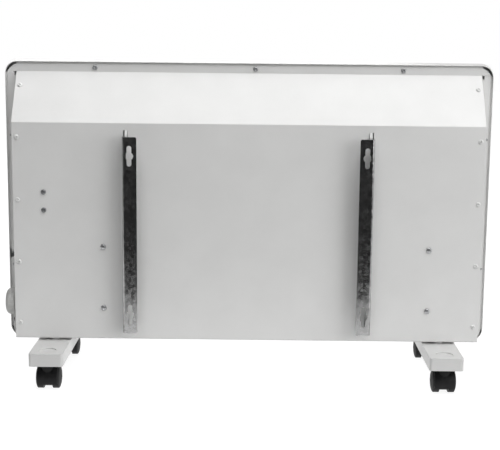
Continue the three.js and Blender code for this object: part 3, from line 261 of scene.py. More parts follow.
# %% White powder-coated steel
def powder_coat(name, light, dark):
    """Semi-gloss polyester powder on steel: peel waves 1.6 mm, wipe marks 60 mm."""
    material, tree, place = start_material(name)
    peel = noise(tree, place, 1.6, detail=1.0)
    wipes = noise(tree, place, 60, detail=3.0)
    specks = noise(tree, place, 0.5, detail=0.0)
    colour = blend(tree, ramp(tree, wipes, 0, 1, 0.3, 0.7), light, dark)
    colour = blend(tree, ramp(tree, specks, 0, 0.06, 0.66, 0.74), colour, "9A9A98")
    finish_material(tree, colour, ramp(tree, wipes, 0.28, 0.36, 0.3, 0.7),
                    height=peel, depth_mm=0.012, edge_mm=0.8, IOR=1.5)
    return material


white_coat = powder_coat("powder_coated_steel_white", "EDEDEC", "E9E9E8")
leg_coat = powder_coat("powder_coated_steel_legs", "DDDDDC", "D8D8D7")
inner_coat = powder_coat("powder_coated_steel_inside", "E2E2E0", "DCDCDA")
print("powder coats:", white_coat.name, leg_coat.name, inner_coat.name)

# %% [markdown]
# ### Galvanised strip
# The wall brackets are cut from hot-dip galvanised strip. The zinc freezes into crystals, the
# spangle, of a few millimetres, and each crystal has its own tone. Rolling and bending leave fine
# lines and rubbed patches on top. The strip is skin passed, that is, rolled once more until it mirrors
# almost clearly. A Voronoi pattern gives every crystal its own brightness and polish, and two noises
# add the rubbed patches and the lines along the strip.

# %% Galvanised sheet steel with its spangle
def galvanised(name, light, dark, spangle_mm, polish=(0.14, 0.24)):
    """Zinc crystals as Voronoi cells whose borders wander by 2 mm, rolled lines along Z, and patches
    14 mm across that are rubbed lighter. polish is the roughness of a dark and of a light crystal."""
    material, tree, place = start_material(name)
    bend = add(tree, "ShaderNodeTexNoise",
               {"Vector": place, "Scale": 1 / (3 * MM), "Detail": 2.0}).outputs["Color"]
    shifted = add(tree, "ShaderNodeVectorMath", {0: bend, 1: (0.0022, 0.0022, 0.0022)},
                  operation="MULTIPLY").outputs["Vector"]
    place_bent = add(tree, "ShaderNodeVectorMath", {0: place, 1: shifted},
                     operation="ADD").outputs["Vector"]
    crystal = add(tree, "ShaderNodeTexVoronoi",
                  {"Vector": place_bent, "Scale": 1 / (spangle_mm * MM)}).outputs["Color"]
    tone = add(tree, "ShaderNodeSeparateColor", {"Color": crystal}).outputs["Red"]
    lines = add(tree, "ShaderNodeMapping",
                {"Vector": place, "Scale": (1, 1, 0.08)}).outputs["Vector"]
    streaks = noise(tree, lines, 0.8, detail=3.0)
    patches = noise(tree, place, 14, detail=4.0, rough=0.65)
    colour = blend(tree, tone, dark, light)
    colour = blend(tree, ramp(tree, patches, 0, 0.5, 0.42, 0.66), colour, light)
    rough = add(tree, "ShaderNodeMath",
                {0: ramp(tree, tone, *polish), 1: ramp(tree, streaks, -0.03, 0.05)},
                operation="ADD").outputs["Value"]
    height = add(tree, "ShaderNodeMath", {0: tone, 1: streaks}, operation="ADD").outputs["Value"]
    finish_material(tree, colour, rough, height=height, depth_mm=0.004, Metallic=1.0)
    return material


bracket_zinc = galvanised("galvanised_steel_spangled", "B4B4B4", "8C8C8C", 5)
inner_zinc = galvanised("galvanised_steel_inner_parts", "B4B5B6", "97999A", 3, polish=(0.24, 0.46))
print("spangle of 5 mm on the brackets, 3 mm inside")

# %% [markdown]
# ### Screws
# Pan-head screws come zinc plated, blackened or painted with the casing. Electroplated zinc is
# bright and slightly blue. The blackened ones look worn in the photograph, so they are a dull grey.
# On heads of eight millimetres only their tone and gloss read, so the pattern is a fine tumbling
# texture of 0.4 mm.

# %% Plated and blackened screw steel
def screw_metal(name, light, dark, rough):
    """Small tumbled hardware: a fine mottle in colour and polish."""
    material, tree, place = start_material(name)
    mottle = noise(tree, place, 0.4, detail=3.0)
    finish_material(tree, blend(tree, mottle, dark, light),
                    ramp(tree, mottle, rough - 0.06, rough + 0.08),
                    height=mottle, depth_mm=0.01, Metallic=1.0)
    return material


zinc_plate = screw_metal("zinc_plated_steel", "C6C7C8", "A2A3A5", 0.3)
black_oxide = screw_metal("black_oxide_steel_worn", "9A9B9C", "77787A", 0.42)
steel_shaft = screw_metal("turned_steel", "B9BABB", "94969A", 0.3)
print("screw finishes:", zinc_plate.name, black_oxide.name, steel_shaft.name)

# %% [markdown]
# ### Moulded plastics
# The castors are black polyamide, the knob is pale ABS, and the switch is glossy black ABS. Moulds
# are spark eroded, which gives plastic an even grain of about 0.4 mm that breaks up its highlights.
# Castors also pick up floor dust, so their colour is lifted a little in large soft patches.

# %% Moulded plastic with its grain
def moulded(name, light, dark, rough, grain_depth=0.015, dust=0.0, shine=0.5):
    """Spark-eroded grain of 0.4 mm as a bump, a faint flow mottle, and dust in soft patches. shine is
    the strength of the mirror light, 0.5 for clean plastic and less for a dull surface."""
    material, tree, place = start_material(name)
    grain = noise(tree, place, 0.4, detail=1.0)
    flow = noise(tree, place, 12, detail=2.0)
    colour = blend(tree, flow, dark, light)
    dusty = ramp(tree, noise(tree, place, 7, detail=4.0), 0, dust, 0.45, 0.8)
    colour = blend(tree, dusty, colour, "8C8A86")
    finish_material(tree, colour, ramp(tree, flow, rough - 0.05, rough + 0.05),
                    height=grain, depth_mm=grain_depth, IOR=1.53, Specular_IOR_Level=shine)
    return material


castor_nylon = moulded("polyamide_black", "1B1B1C", "141415", 0.5, dust=0.03, shine=0.2)
knob_abs = moulded("abs_pale_grey", "C4C4C2", "BDBDBB", 0.45)
switch_abs = moulded("abs_black_glossy", "1C1C1D", "151516", 0.22, grain_depth=0.004)
terminal_nylon = moulded("polyamide_cream", "DED6C4", "D0C7B4", 0.45)
sensor_black = moulded("phenolic_black", "2A2622", "1D1A18", 0.5)
print("plastics:", castor_nylon.name, knob_abs.name, switch_abs.name)

# %% [markdown]
# ### Element, bushes and inner sheet
# The heating element is an extruded aluminium profile. The die draws fine lines along it, which
# stretch every highlight across. Its ends pass through bushes of glazed steatite, a cream ceramic.

# %% Extruded aluminium and glazed steatite
def extruded_aluminium(name):
    """Die lines along X: noise that is squeezed to 0.3 mm across and stretched along the profile."""
    material, tree, place = start_material(name)
    along = add(tree, "ShaderNodeMapping", {"Vector": place, "Scale": (0.02, 1, 1)}).outputs["Vector"]
    lines = noise(tree, along, 0.3, detail=3.0)
    stains = noise(tree, place, 18, detail=3.0)
    finish_material(tree, blend(tree, stains, "C6C7C8", "AEB0B2"), ramp(tree, lines, 0.3, 0.5),
                    height=lines, depth_mm=0.02, Metallic=1.0)
    return material


def glazed_ceramic(name):
    """A clear glaze over cream steatite, with pinholes about 1 mm apart."""
    material, tree, place = start_material(name)
    pits = add(tree, "ShaderNodeTexVoronoi", {"Vector": place, "Scale": 1 / MM}).outputs["Distance"]
    body = noise(tree, place, 4, detail=3.0)
    finish_material(tree, blend(tree, body, "E3DCCB", "D5CCB8"), ramp(tree, pits, 0.35, 0.15, 0, 0.2),
                    height=ramp(tree, pits, 0, 1, 0, 0.15), depth_mm=0.02,
                    IOR=1.55, Coat_Weight=0.5, Coat_Roughness=0.08)
    return material


aluminium = extruded_aluminium("extruded_aluminium")
steatite = glazed_ceramic("glazed_steatite")
print("inside materials:", aluminium.name, steatite.name)

# %% [markdown]
# Every solid keeps its own name and shape here, and only takes the finish of the real part. Most
# round or folded ones are replaced by finer pieces in the cells that follow.

# %% Give each solid its finish
FINISHES = {
    white_coat: ["front_panel", "rear_cover", "right_side_wall", "left_side_wall"],
    leg_coat: ["leg_left", "leg_right"],
    inner_coat: ["outlet_grille"],
    bracket_zinc: ["wall_bracket_left", "wall_bracket_right"],
    inner_zinc: ["inner_baffle", "element_bracket_left", "element_bracket_right"],
    aluminium: ["heating_element"],
    steatite: ["element_bush_left", "element_bush_right"],
    sensor_black: ["thermal_cutout", "thermostat", "tip_over_switch"],
    terminal_nylon: ["terminal_block"],
    castor_nylon: ["cable_gland"],
    knob_abs: ["control_plate", "thermostat_knob"],
    switch_abs: ["switch_housing", "power_rocker"],
    steel_shaft: ["thermostat_shaft"],
    zinc_plate: [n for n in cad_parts
                 if n.startswith(("element_screw", "leg_screw", "panel_screw"))],
    black_oxide: [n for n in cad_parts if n.startswith("tip_switch_screw")],
}
FINISHES[steel_shaft] += [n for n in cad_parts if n.endswith("_axle")]
FINISHES[castor_nylon] += [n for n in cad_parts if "_wheel_" in n or n.endswith("_hood")]
for finish, names in FINISHES.items():
    for name in names:
        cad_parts[name].material_slots[0].material = finish
print("solids with a finish:", sum(len(names) for names in FINISHES.values()))

# %% [markdown]
# ## Castors
# A twin-wheel castor has two moulded wheels whose outer faces are domed, with a groove round the cap
# that covers the axle. The solids show them with twenty facets. A profile turned in ninety-six steps
# gives the true roundness, and its radius is the axle's height, so each wheel just touches the floor.

# %% Wheels, turned from one profile
WHEEL_BORE, TREAD_WIDTH, TREAD_EDGE, CAP_RADIUS, GROOVE = 2.6, 8.2, 0.7, 9.2, 0.5
WHEEL_STEPS = 96


def wheel_profile(radius, width):
    """Closed profile of (radius, distance from the inner face): a flat tread with round edges, then a
    quarter ellipse for the dome, with a groove round the cap."""
    t = np.radians(np.linspace(6, 90, 22))
    dome = np.stack([radius * np.cos(t), TREAD_WIDTH + (width - TREAD_WIDTH) * np.sin(t)], -1)
    ring = dome[dome[:, 0] > CAP_RADIUS + GROOVE]
    cap = dome[(dome[:, 0] < CAP_RADIUS) & (dome[:, 0] > WHEEL_BORE)]
    groove_top, groove_foot = ring[-1, 1] + 0.02, ring[-1, 1] - GROOVE
    groove = [[CAP_RADIUS + 0.9 * GROOVE, groove_top], [CAP_RADIUS + 0.6 * GROOVE, groove_foot],
              [CAP_RADIUS, groove_foot]]
    inner_edge = arc(TREAD_EDGE, -90, 0, 4, (radius - TREAD_EDGE, TREAD_EDGE))
    return np.concatenate([[[WHEEL_BORE, 0]], inner_edge, ring, groove, cap, [[WHEEL_BORE, width]]])


CASTORS = [(end, side) for end in ("front", "rear") for side in ("left", "right")]
for end, side in CASTORS:
    castor = f"castor_{end}_{side}"
    for half in ("left", "right"):
        node = f"{castor}_wheel_{half}"
        low, high = (np.array(corner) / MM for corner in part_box(node))
        outward = 1 if half == "right" else -1
        inner_face = low[0] if outward > 0 else high[0]
        surface = spun(wheel_profile(high[2] / 2, high[0] - low[0]), WHEEL_STEPS, closed=True)
        hub = (inner_face, (low[1] + high[1]) / 2, high[2] / 2)
        piece(f"{node}_turned", [placed(surface, hub, x=(0, 1, 0), y=(0, 0, 1), z=(outward, 0, 0))],
              f"{castor}_{half}_wheel", castor_nylon, replaces=[node])
print("wheels:", 2 * len(CASTORS), "of radius", round(high[2] / 2, 2), "mm")

# %% [markdown]
# The hood is a curved strip over both wheels with a web between them. Its cross-section is a T, and it
# sweeps round the axle from below the back of the wheels to low in front. A boss carries it up to the
# leg, and the boss's lower edge follows the hood: z = sqrt(R^2 - y^2).

# %% Hoods, swept round the axle
HOOD_HALF, WEB_HALF, HOOD_INSIDE, HOOD_OUTSIDE = 15.5, 6.7, 18.85, 20.35
HOOD_EDGE = ((0.0, 0.7), (0.2, 0.25), (0.7, 0.0))  # its round outer edge: how far in, how far down
HOOD_FROM, HOOD_TO, TRAIL, BOSS_RADIUS, STEM_RADIUS, CHEEK_RADIUS = -20, 150, 7.5, 10.0, 5.5, 14.0
BOSS_SUNK, BOSS_IN_LEG, STEM_SUNK, CHEEK_PROUD, TOP_CHAMFER = 0.5, 1.2, 1.0, 0.05, 0.4
BAR_STEPS = 64


def swept(section, from_degrees, to_degrees, steps):
    """A closed section of (x, radius) swept about the X axis: y = r cos t, z = r sin t."""
    section = np.asarray(section, float)
    t = np.radians(np.linspace(from_degrees, to_degrees, steps + 1))[:, None]
    points = np.stack([section[:, 0] + 0 * t, section[:, 1] * np.cos(t), section[:, 1] * np.sin(t)], -1)
    faces = lattice(steps + 1, len(section)).tolist()
    last = steps * len(section)
    return points.reshape(-1, 3), faces + [list(range(len(section))),
                                           list(range(last, last + len(section)))]


def mirrored(half):
    """The points of half a section on its other side, where x becomes -x."""
    return [[-x, radius] for x, radius in half]


def upright(radius, low, high):
    """A round bar along Z whose lower ring is at low, a number or one height per step, closed on top."""
    t = np.linspace(0, 2 * np.pi, BAR_STEPS, endpoint=False)
    ring = np.stack([radius * np.cos(t), radius * np.sin(t)], -1)
    edge = np.full((BAR_STEPS, 1), high - TOP_CHAMFER)
    rings = [np.column_stack([ring, np.broadcast_to(low, BAR_STEPS)]), np.column_stack([ring, edge]),
             np.column_stack([ring * (radius - TOP_CHAMFER) / radius, edge + TOP_CHAMFER])]
    top = list(range(2 * BAR_STEPS, 3 * BAR_STEPS))
    return np.concatenate(rings), lattice(3, BAR_STEPS).tolist() + [top]


half_section = [[HOOD_HALF, HOOD_INSIDE], [WEB_HALF, HOOD_INSIDE], [WEB_HALF, CHEEK_RADIUS / 2]]
half_edge = [[HOOD_HALF - aside, HOOD_OUTSIDE - down] for aside, down in HOOD_EDGE]
hood_section = [*mirrored(half_section[:1] + half_edge), *half_edge[::-1], *half_section,
                *mirrored(half_section[:0:-1])]
cheek_half = WEB_HALF + CHEEK_PROUD
cheek = [[WHEEL_BORE, -cheek_half], [CHEEK_RADIUS, -cheek_half],
         [CHEEK_RADIUS, cheek_half], [WHEEL_BORE, cheek_half]]
turn_angle = np.linspace(0, 2 * np.pi, BAR_STEPS, endpoint=False)
boss_foot = np.sqrt((HOOD_OUTSIDE - BOSS_SUNK) ** 2 - (TRAIL + BOSS_RADIUS * np.sin(turn_angle)) ** 2)
for end, side in CASTORS:
    node = f"castor_{end}_{side}_hood"
    low, high = (np.array(corner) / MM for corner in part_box(node))
    axle = centre_of(f"castor_{end}_{side}_axle")
    boss_top = float(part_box(f"leg_{side}")[0][2]) / MM + BOSS_IN_LEG - axle[2]
    surfaces = [swept(hood_section, HOOD_FROM, HOOD_TO, 60),
                placed(spun(cheek, BAR_STEPS, closed=True), (0, 0, 0),
                       x=(0, 1, 0), y=(0, 0, 1), z=(1, 0, 0)),
                placed(upright(BOSS_RADIUS, boss_foot, boss_top), (0, TRAIL, 0)),
                placed(upright(STEM_RADIUS, boss_top - STEM_SUNK, high[2] - axle[2]), (0, TRAIL, 0))]
    facing = 1 if end == "rear" else -1
    turned = [placed(surface, axle, x=(facing, 0, 0), y=(0, facing, 0)) for surface in surfaces]
    piece(f"{node}_swept", turned, f"castor_{end}_{side}", castor_nylon,
          replaces=[node])
print("hoods:", len(CASTORS), "each", 2 * HOOD_HALF, "mm wide")

# %% [markdown]
# ## Knob
# The thermostat's knob has a round crown and a skirt with fine flutes for the fingers. The flutes are
# a wave on the skirt's radius, r - d (1 - cos(n t))/2, that fades out towards the crown. A raised bar
# on its face points at the setting.

# %% The fluted knob
FLUTES, FLUTE_DEPTH, FLUTE_FADE, CROWN, SKIRT_EDGE = 40, 0.55, 2.0, 6.9, 0.4
POINTER, POINTER_CORNER, POINTER_RISE, POINTER_SUNK = (5.0, 14.0, 0.9), 0.8, 0.5, 1.0
DISH_RADIUS, DISH_EDGE, DISH_MIDDLE, KNOB_INSIDE, KNOB_STEPS = 9.0, 0.25, 0.3, 0.05, 320
low, high = (np.array(corner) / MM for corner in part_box("thermostat_knob"))
knob_radius, knob_depth = (high[2] - low[2]) / 2 - KNOB_INSIDE, high[0] - low[0]
knob_face = knob_depth - POINTER_RISE
skirt_top = knob_face - CROWN
crown_arc = arc(CROWN, 0, 90, 14, (knob_radius - CROWN, skirt_top))
skirt = np.stack([np.full(12, knob_radius), np.linspace(SKIRT_EDGE, skirt_top, 12)], -1)
outline = np.concatenate([[[0, 0], [knob_radius - SKIRT_EDGE, 0]], skirt, crown_arc[1:],
                          [[DISH_RADIUS, knob_face - DISH_EDGE], [0, knob_face - DISH_MIDDLE]]])
points, faces = spun(outline, KNOB_STEPS)
radius = np.linalg.norm(points[:, :2], axis=1)
wave = (1 - np.cos(FLUTES * np.arctan2(points[:, 1], points[:, 0]))) / 2
fade = np.clip((skirt_top + FLUTE_FADE - points[:, 2]) / (2 * FLUTE_FADE), 0, 1)
fade *= radius > knob_radius - SKIRT_EDGE - 0.1
points[:, :2] *= (1 - FLUTE_DEPTH * wave * fade / np.maximum(radius, 1))[:, None]
near, far, half_width = POINTER
bar = rounded([(near, -half_width), (far, -half_width), (far, half_width), (near, half_width)],
              POINTER_CORNER)
bar_points, bar_faces = prism(bar, knob_face - POINTER_SUNK, knob_depth)
axes = {"x": (0, 1, 0), "y": (0, 0, 1), "z": (1, 0, 0)}
knob_place = (low[0], (low[1] + high[1]) / 2, (low[2] + high[2]) / 2)
piece("thermostat_knob_fluted",
      [placed((points, faces), knob_place, **axes),
       placed((bar_points[:, [1, 2, 0]], bar_faces), knob_place,
              x=(0, 0, 1), y=(0, 1, 0), z=(1, 0, 0))],
      "dial", knob_abs, replaces=["thermostat_knob"])
print("knob radius", round(knob_radius, 2), "mm with", FLUTES, "flutes")

# %% [markdown]
# ## Front panel
# The panel is a drawn steel tray. Going round its cross-section, the surface runs from the outlet's
# edge over the front face, round the outer edge, back along the lip and round inside again. Each stop
# is one ring with round corners, and all rings have equally many points, so one grid joins them.
# Behind the casing's flange the lip carries a return flange, cut away at the four corners.

# %% The drawn tray
SHEET, EDGE, DRAW_IN, LIP_DEPTH, CORNER, OUTLET_CORNER = 1.2, 2.5, 3.0, 17.0, 22.0, 6.0
FULL_WIDTH, FULL_HEIGHT, OUTLET_INSET, OUTLET_HEIGHT, OUTLET_BELOW_TOP = 766, 446, 51, 54, 26
RETURN_WIDTH, LOW_RETURN, RETURN_NOTCH, RETURN_DEPTH = 14.0, 7.0, 17.0, 5.5
SEAT, NOTCH_ABOVE, NOTCH_HEIGHT, NOTCH_MARGIN = 0.3, 119.8, 11.5, 1.5
CUT_ROUND = 0.3                                          # the cut edge of the lip
OUTLET_ROUND = ((0.0, 0.5), (0.15, 0.15), (0.5, 0.0))    # the outlet's edge: outwards, inwards


def ring(half_width, half_height, radius, middle, y, steps=12):
    """A rectangle with round corners at depth y: quarter circles about four centres."""
    quarter = np.radians(np.linspace(0, 90, steps + 1))
    corners = []
    for turn_by, sx, sz in ((0, 1, 1), (1, -1, 1), (2, -1, -1), (3, 1, -1)):
        t = quarter + turn_by * np.pi / 2
        x = sx * (half_width - radius) + radius * np.cos(t)
        z = middle + sz * (half_height - radius) + radius * np.sin(t)
        corners.append(np.stack([x, np.full(steps + 1, y), z], -1))
    return np.concatenate(corners)


def box(low, high):
    """A plain block between two corners."""
    points = np.array([[x, y, z] for x in (low[0], high[0]) for y in (low[1], high[1])
                       for z in (low[2], high[2])], float)
    return points, [[0, 1, 3, 2], [4, 6, 7, 5], [0, 4, 5, 1], [2, 3, 7, 6], [0, 2, 6, 4], [1, 5, 7, 3]]


low, high = (np.array(corner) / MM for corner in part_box("front_panel"))
front_y, lip_y, panel_middle = low[1], high[1], (low[2] + high[2]) / 2
outlet_middle = panel_middle + FULL_HEIGHT / 2 - OUTLET_BELOW_TOP - OUTLET_HEIGHT / 2


def tray_ring(inset, y):
    """The tray's outline at depth y, moved in by inset and by the lip's even draw towards the wall."""
    inward = inset + DRAW_IN * (y - front_y) / LIP_DEPTH
    return ring(FULL_WIDTH / 2 - inward, FULL_HEIGHT / 2 - inward, CORNER - inward, panel_middle, y)


def outlet_ring(grow, y):
    """The outlet's outline at depth y, made larger by grow."""
    return ring(FULL_WIDTH / 2 - OUTLET_INSET + grow, OUTLET_HEIGHT / 2 + grow, OUTLET_CORNER + grow,
                outlet_middle, y)


outer_edge = arc(EDGE, 90, 0, 8)
rings = [outlet_ring(0, front_y + SHEET)]
rings += [outlet_ring(grow, front_y + behind) for grow, behind in OUTLET_ROUND]
rings += [tray_ring(EDGE - x, front_y + EDGE - z) for x, z in outer_edge]
rings += [tray_ring(0, lip_y - CUT_ROUND), tray_ring(CUT_ROUND, lip_y),
          tray_ring(SHEET - CUT_ROUND, lip_y), tray_ring(SHEET, lip_y - CUT_ROUND)]
inner_edge = arc(EDGE - SHEET, 0, 90, 6)
rings += [tray_ring(EDGE - x, front_y + EDGE - z) for x, z in inner_edge]
tray = np.concatenate(rings), lattice(len(rings), len(rings[0]), wrap_rows=True).tolist()

return_y = lip_y - RETURN_DEPTH
inward = DRAW_IN * (return_y + SHEET - front_y) / LIP_DEPTH + SHEET / 2
edge_x = FULL_WIDTH / 2 - inward
low_z, top_z = (panel_middle + sign * (FULL_HEIGHT / 2 - inward) for sign in (-1, 1))
casing_bottom = float(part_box("leg_left")[1][2]) / MM + SEAT
notch_low = casing_bottom + NOTCH_ABOVE - NOTCH_MARGIN
notch_top = casing_bottom + NOTCH_ABOVE + NOTCH_HEIGHT + NOTCH_MARGIN
end_x, side_low, side_top = edge_x - RETURN_NOTCH, low_z + RETURN_NOTCH, top_z - RETURN_NOTCH
inner_x = edge_x - RETURN_WIDTH
strips = [((-end_x, top_z - RETURN_WIDTH), (end_x, top_z)),
          ((-end_x, low_z), (end_x, low_z + LOW_RETURN)),
          ((-edge_x, side_low), (-inner_x, side_top)), ((inner_x, side_low), (edge_x, notch_low)),
          ((inner_x, notch_top), (edge_x, side_top))]
flanges = [box((x0, return_y, z0), (x1, return_y + SHEET, z1)) for (x0, z0), (x1, z1) in strips]
piece("front_panel_drawn", [tray] + flanges, "heater", white_coat,
      replaces=["front_panel"])
print("tray:", len(rings), "rings of", len(rings[0]), "points")

# %% [markdown]
# ## Wall brackets
# Each bracket is a strip of galvanised sheet that is folded twice: a face for the wall with two
# keyholes, a side, and a narrow lip that the casing's hooks hold. The folded part is its
# cross-section drawn out along Z. The face is filled between its outline and its keyholes, and it
# shares its last points with the fold, so the two become one skin.

# %% Folded brackets with their keyholes
STRIP, FACE_BEND, LIP_BEND, LIP_AT_HOOK, LIP, FREE_CORNER = 1.5, 4.0, 2.0, 2.2, 4.0, 2.5
KEY_SLOT, KEY_HEAD, KEY_HALF, KEY_END = 3.65, 6.25, 15.75, 13.0
HOOK_WINDOW, LIP_OVERLAP = (15.7, 39.0), 0.1


def keyhole(x, z):
    """Outline of a slot with round ends across a larger hole: they meet asin(slot/head) from upright."""
    meet, end = np.degrees(np.arcsin(KEY_SLOT / KEY_HEAD)), KEY_HALF - KEY_SLOT
    return np.concatenate([
        arc(KEY_SLOT, 0, 180, 16, (x, z + end)), arc(KEY_HEAD, 90 + meet, 270 - meet, 20, (x, z)),
        arc(KEY_SLOT, 180, 360, 16, (x, z - end)), arc(KEY_HEAD, meet - 90, 90 - meet, 20, (x, z))])


def bracket_face(width, y, z0, z1):
    """The flat face: points are (distance from the outer side, y, z)."""
    c, middle = FREE_CORNER, width / 2
    outline = np.concatenate([[[FACE_BEND, z0]], arc(c, -90, 0, 8, (width - c, z0 + c)),
                              arc(c, 0, 90, 8, (width - c, z1 - c)), [[FACE_BEND, z1]]])
    loops = [outline] + [keyhole(middle, z)
                         for z in (z0 + KEY_END + KEY_HALF, z1 - KEY_END - KEY_HALF)]
    flat = np.concatenate(loops)
    count = len(flat)
    fill = tessellate_polygon([[(u, z, 0) for u, z in loop.tolist()] for loop in loops])
    faces = [list(f) for f in fill] + [[i + count for i in f] for f in fill]
    start = 0
    for number, loop in enumerate(loops):
        sides = len(loop) - 1 if number == 0 else len(loop)  # the outline stays open at the bend
        for i in range(sides):
            a, b = start + i, start + (i + 1) % len(loop)
            faces.append([a, b, b + count, a + count])
        start += len(loop)
    sheets = [np.column_stack([flat[:, 0], np.full(count, depth), flat[:, 1]])
              for depth in (y, y - STRIP)]
    return np.concatenate(sheets), faces


def bracket_fold(y, back, z0, z1):
    """Bend, side and lip: the strip's cross-section in (u, y), drawn out from z0 to z1."""
    face_turn, lip_turn = (FACE_BEND, y - FACE_BEND), (LIP_BEND, back + LIP_BEND)
    section = np.concatenate([
        arc(FACE_BEND, 90, 180, 16, face_turn), arc(LIP_BEND, 180, 270, 8, lip_turn),
        [[LIP_AT_HOOK, back], [LIP_AT_HOOK, back + STRIP]], arc(LIP_BEND - STRIP, 270, 180, 8, lip_turn),
        arc(FACE_BEND - STRIP, 180, 90, 16, face_turn)])
    count = len(section)
    ends = [np.column_stack([section, np.full(count, z)]) for z in (z0, z1)]
    faces = lattice(2, count, wrap_columns=False).tolist()
    return np.concatenate(ends), faces + [list(range(count)), list(range(count, 2 * count))]


for side_name in ("left", "right"):
    node = f"wall_bracket_{side_name}"
    low, high = (np.array(corner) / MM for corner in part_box(node))
    side = 1 if high[0] > 0 else -1
    outer_x = high[0] if side > 0 else low[0]
    window = [low[2] + height for height in HOOK_WINDOW]
    parts = [bracket_face(high[0] - low[0], high[1], low[2], high[2]),
             bracket_fold(high[1], low[1], low[2], high[2])]
    parts += [box((LIP_AT_HOOK - LIP_OVERLAP, low[1], z0), (LIP, low[1] + STRIP, z1))
              for z0, z1 in ((low[2], window[0]), (window[1], high[2]))]
    handed = [(points * (-side, 1, 1) + (outer_x, 0, 0), faces) for points, faces in parts]
    piece(f"{node}_folded", handed, f"bracket_{side_name}", bracket_zinc,
          replaces=[node])
print("brackets", round(high[2] - low[2]), "mm long, keyholes", 2 * KEY_HALF, "mm")

# %% [markdown]
# ## Screws
# Every visible screw is a pan head with a cross recess. On a grid of radius and angle, the head's
# height is a superellipse, h = H sqrt(1 - (r/R)^4), and the recess is cut down where a point lies
# within either arm of the cross: its depth grows towards the middle, as the driver's tip does.

# %% Pan heads with a cross recess
ARM_HALF_WIDTH, ARM_SLOPE, ARM_REACH = 0.5, 0.12, 0.55
RECESS_SHARE, RECESS_MIDDLE, RECESS_LEAST = 0.75, 1.15, 0.25
POINT_LENGTH, POINT_SHARE, SCREW_STEPS, HEAD_RINGS = 1.0, 0.4, 96, 27


def pan_head(radius, rise, shank, length):
    """A screw along +Z whose head stands on z = 0 and whose shank goes down to a blunt point. The depth
    of the recess is a share of the head's rise."""
    share = np.linspace(0, 1, HEAD_RINGS) ** 0.8
    t = np.linspace(0, 2 * np.pi, SCREW_STEPS, endpoint=False)
    r = (share * radius)[:, None] + 0 * t
    x, y = r * np.cos(t), r * np.sin(t)
    arm = ARM_REACH * radius
    inside = np.maximum(np.minimum(ARM_HALF_WIDTH - abs(x), arm - abs(y)),
                        np.minimum(ARM_HALF_WIDTH - abs(y), arm - abs(x)))
    taper = np.clip(RECESS_MIDDLE - r / arm, RECESS_LEAST, 1)
    depth = np.clip(inside / ARM_SLOPE, 0, 1) * RECESS_SHARE * rise * taper
    head = np.stack([x, y, rise * np.sqrt(1 - share[:, None] ** 4) - depth], -1).reshape(-1, 3)
    below = spun([[shank, 0], [shank, -length + POINT_LENGTH], [shank * POINT_SHARE, -length],
                  [0, -length]], SCREW_STEPS)[0]
    return np.concatenate([head, below]), lattice(HEAD_RINGS + 4, SCREW_STEPS).tolist()


# rise of the head, radius of the shank, slot and material
SCREWS = {"panel_screw": (2.2, 1.9, "white_paint", zinc_plate),
          "tip_switch_screw": (2.2, 1.9, "black_steel", black_oxide),
          "element_screw": (2.6, 2.0, "zinc_steel", zinc_plate),
          "leg_screw": (3.0, 2.4, "zinc_steel", zinc_plate)}
for node in sorted(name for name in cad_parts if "screw" in name):
    rise, shank, slot, metal = next(value for key, value in SCREWS.items() if node.startswith(key))
    low, high = (np.array(corner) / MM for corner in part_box(node))
    middle, radius = (low + high) / 2, (high[0] - low[0]) / 2
    if node.startswith("leg_screw"):
        seat = (middle[0], middle[1], low[2] + rise)
        axes = dict(x=(1, 0, 0), y=(0, -1, 0), z=(0, 0, -1))
        length = high[2] - seat[2]
    else:
        seat = (middle[0], high[1] - rise, middle[2])
        axes = dict(x=(-1, 0, 0), y=(0, 0, 1), z=(0, 1, 0))
        length = seat[1] - low[1]
    piece(f"{node}_crosshead", [placed(pan_head(radius, rise, shank, length), seat, **axes)],
          "heater", metal, replaces=[node])
print("screws with a cross recess:", sum("screw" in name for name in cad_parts))

# %% [markdown]
# Ten white screws hold the back to the side walls, four down each side and one on each end of the
# slope. The solids leave them out, as they do the four small rivets in the side flanges.

# %% White side screws and flange rivets
SIDE_X, SIDE_FIRST, SIDE_PITCH, SLOPE_SCREW = 355.0, 25.3, 97.0, (6.8, 457.8)
SIDE_HEAD = (3.7, 1.9, 1.6, 5.0)  # radius and rise of the head, radius and length of the shank
SLOPE_RISE, SLOPE_RUN, COVER_SHEET = 75.5, 51.0, 1.0
slope_out = np.array([0, SLOPE_RISE, SLOPE_RUN]) / np.hypot(SLOPE_RISE, SLOPE_RUN)
back_y = float(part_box("left_side_wall")[1][1]) / MM + SEAT + COVER_SHEET
places = []
for side in (-1, 1):
    places += [((side * SIDE_X, back_y, casing_bottom + SIDE_FIRST + row * SIDE_PITCH), (0, 1, 0))
               for row in range(4)]
    places.append(((side * SIDE_X, *SLOPE_SCREW), slope_out))
for number, (place, out) in enumerate(places, 1):
    x = np.array([-1.0, 0, 0])
    head = placed(pan_head(*SIDE_HEAD), place, x=x, y=np.cross(out, x), z=out)
    piece(f"side_screw_{number}", [head], "heater", white_coat)

FLANGE_DEPTH, RIVET_X, RIVET_HEIGHTS = 3.0, 374.0, (108.0, 315.0)
# closed profile of a hollow rivet: radius and height above the flange
rivet = [[0.7, -1.2], [0.7, 0.4], [0.9, 0.7], [1.3, 0.65], [1.7, 0.05], [1.7, -1.2]]
for side_name, side in (("left", -1), ("right", 1)):
    for number, height in enumerate(RIVET_HEIGHTS, 1):
        spot = (side * RIVET_X, lip_y - FLANGE_DEPTH, casing_bottom + height)
        piece(f"flange_rivet_{side_name}_{number}",
              [placed(spun(rivet, 32, closed=True), spot, x=(-1, 0, 0), y=(0, 0, 1), z=(0, 1, 0))],
              "heater", zinc_plate)
print("white screws:", len(places), "rivets:", 4)

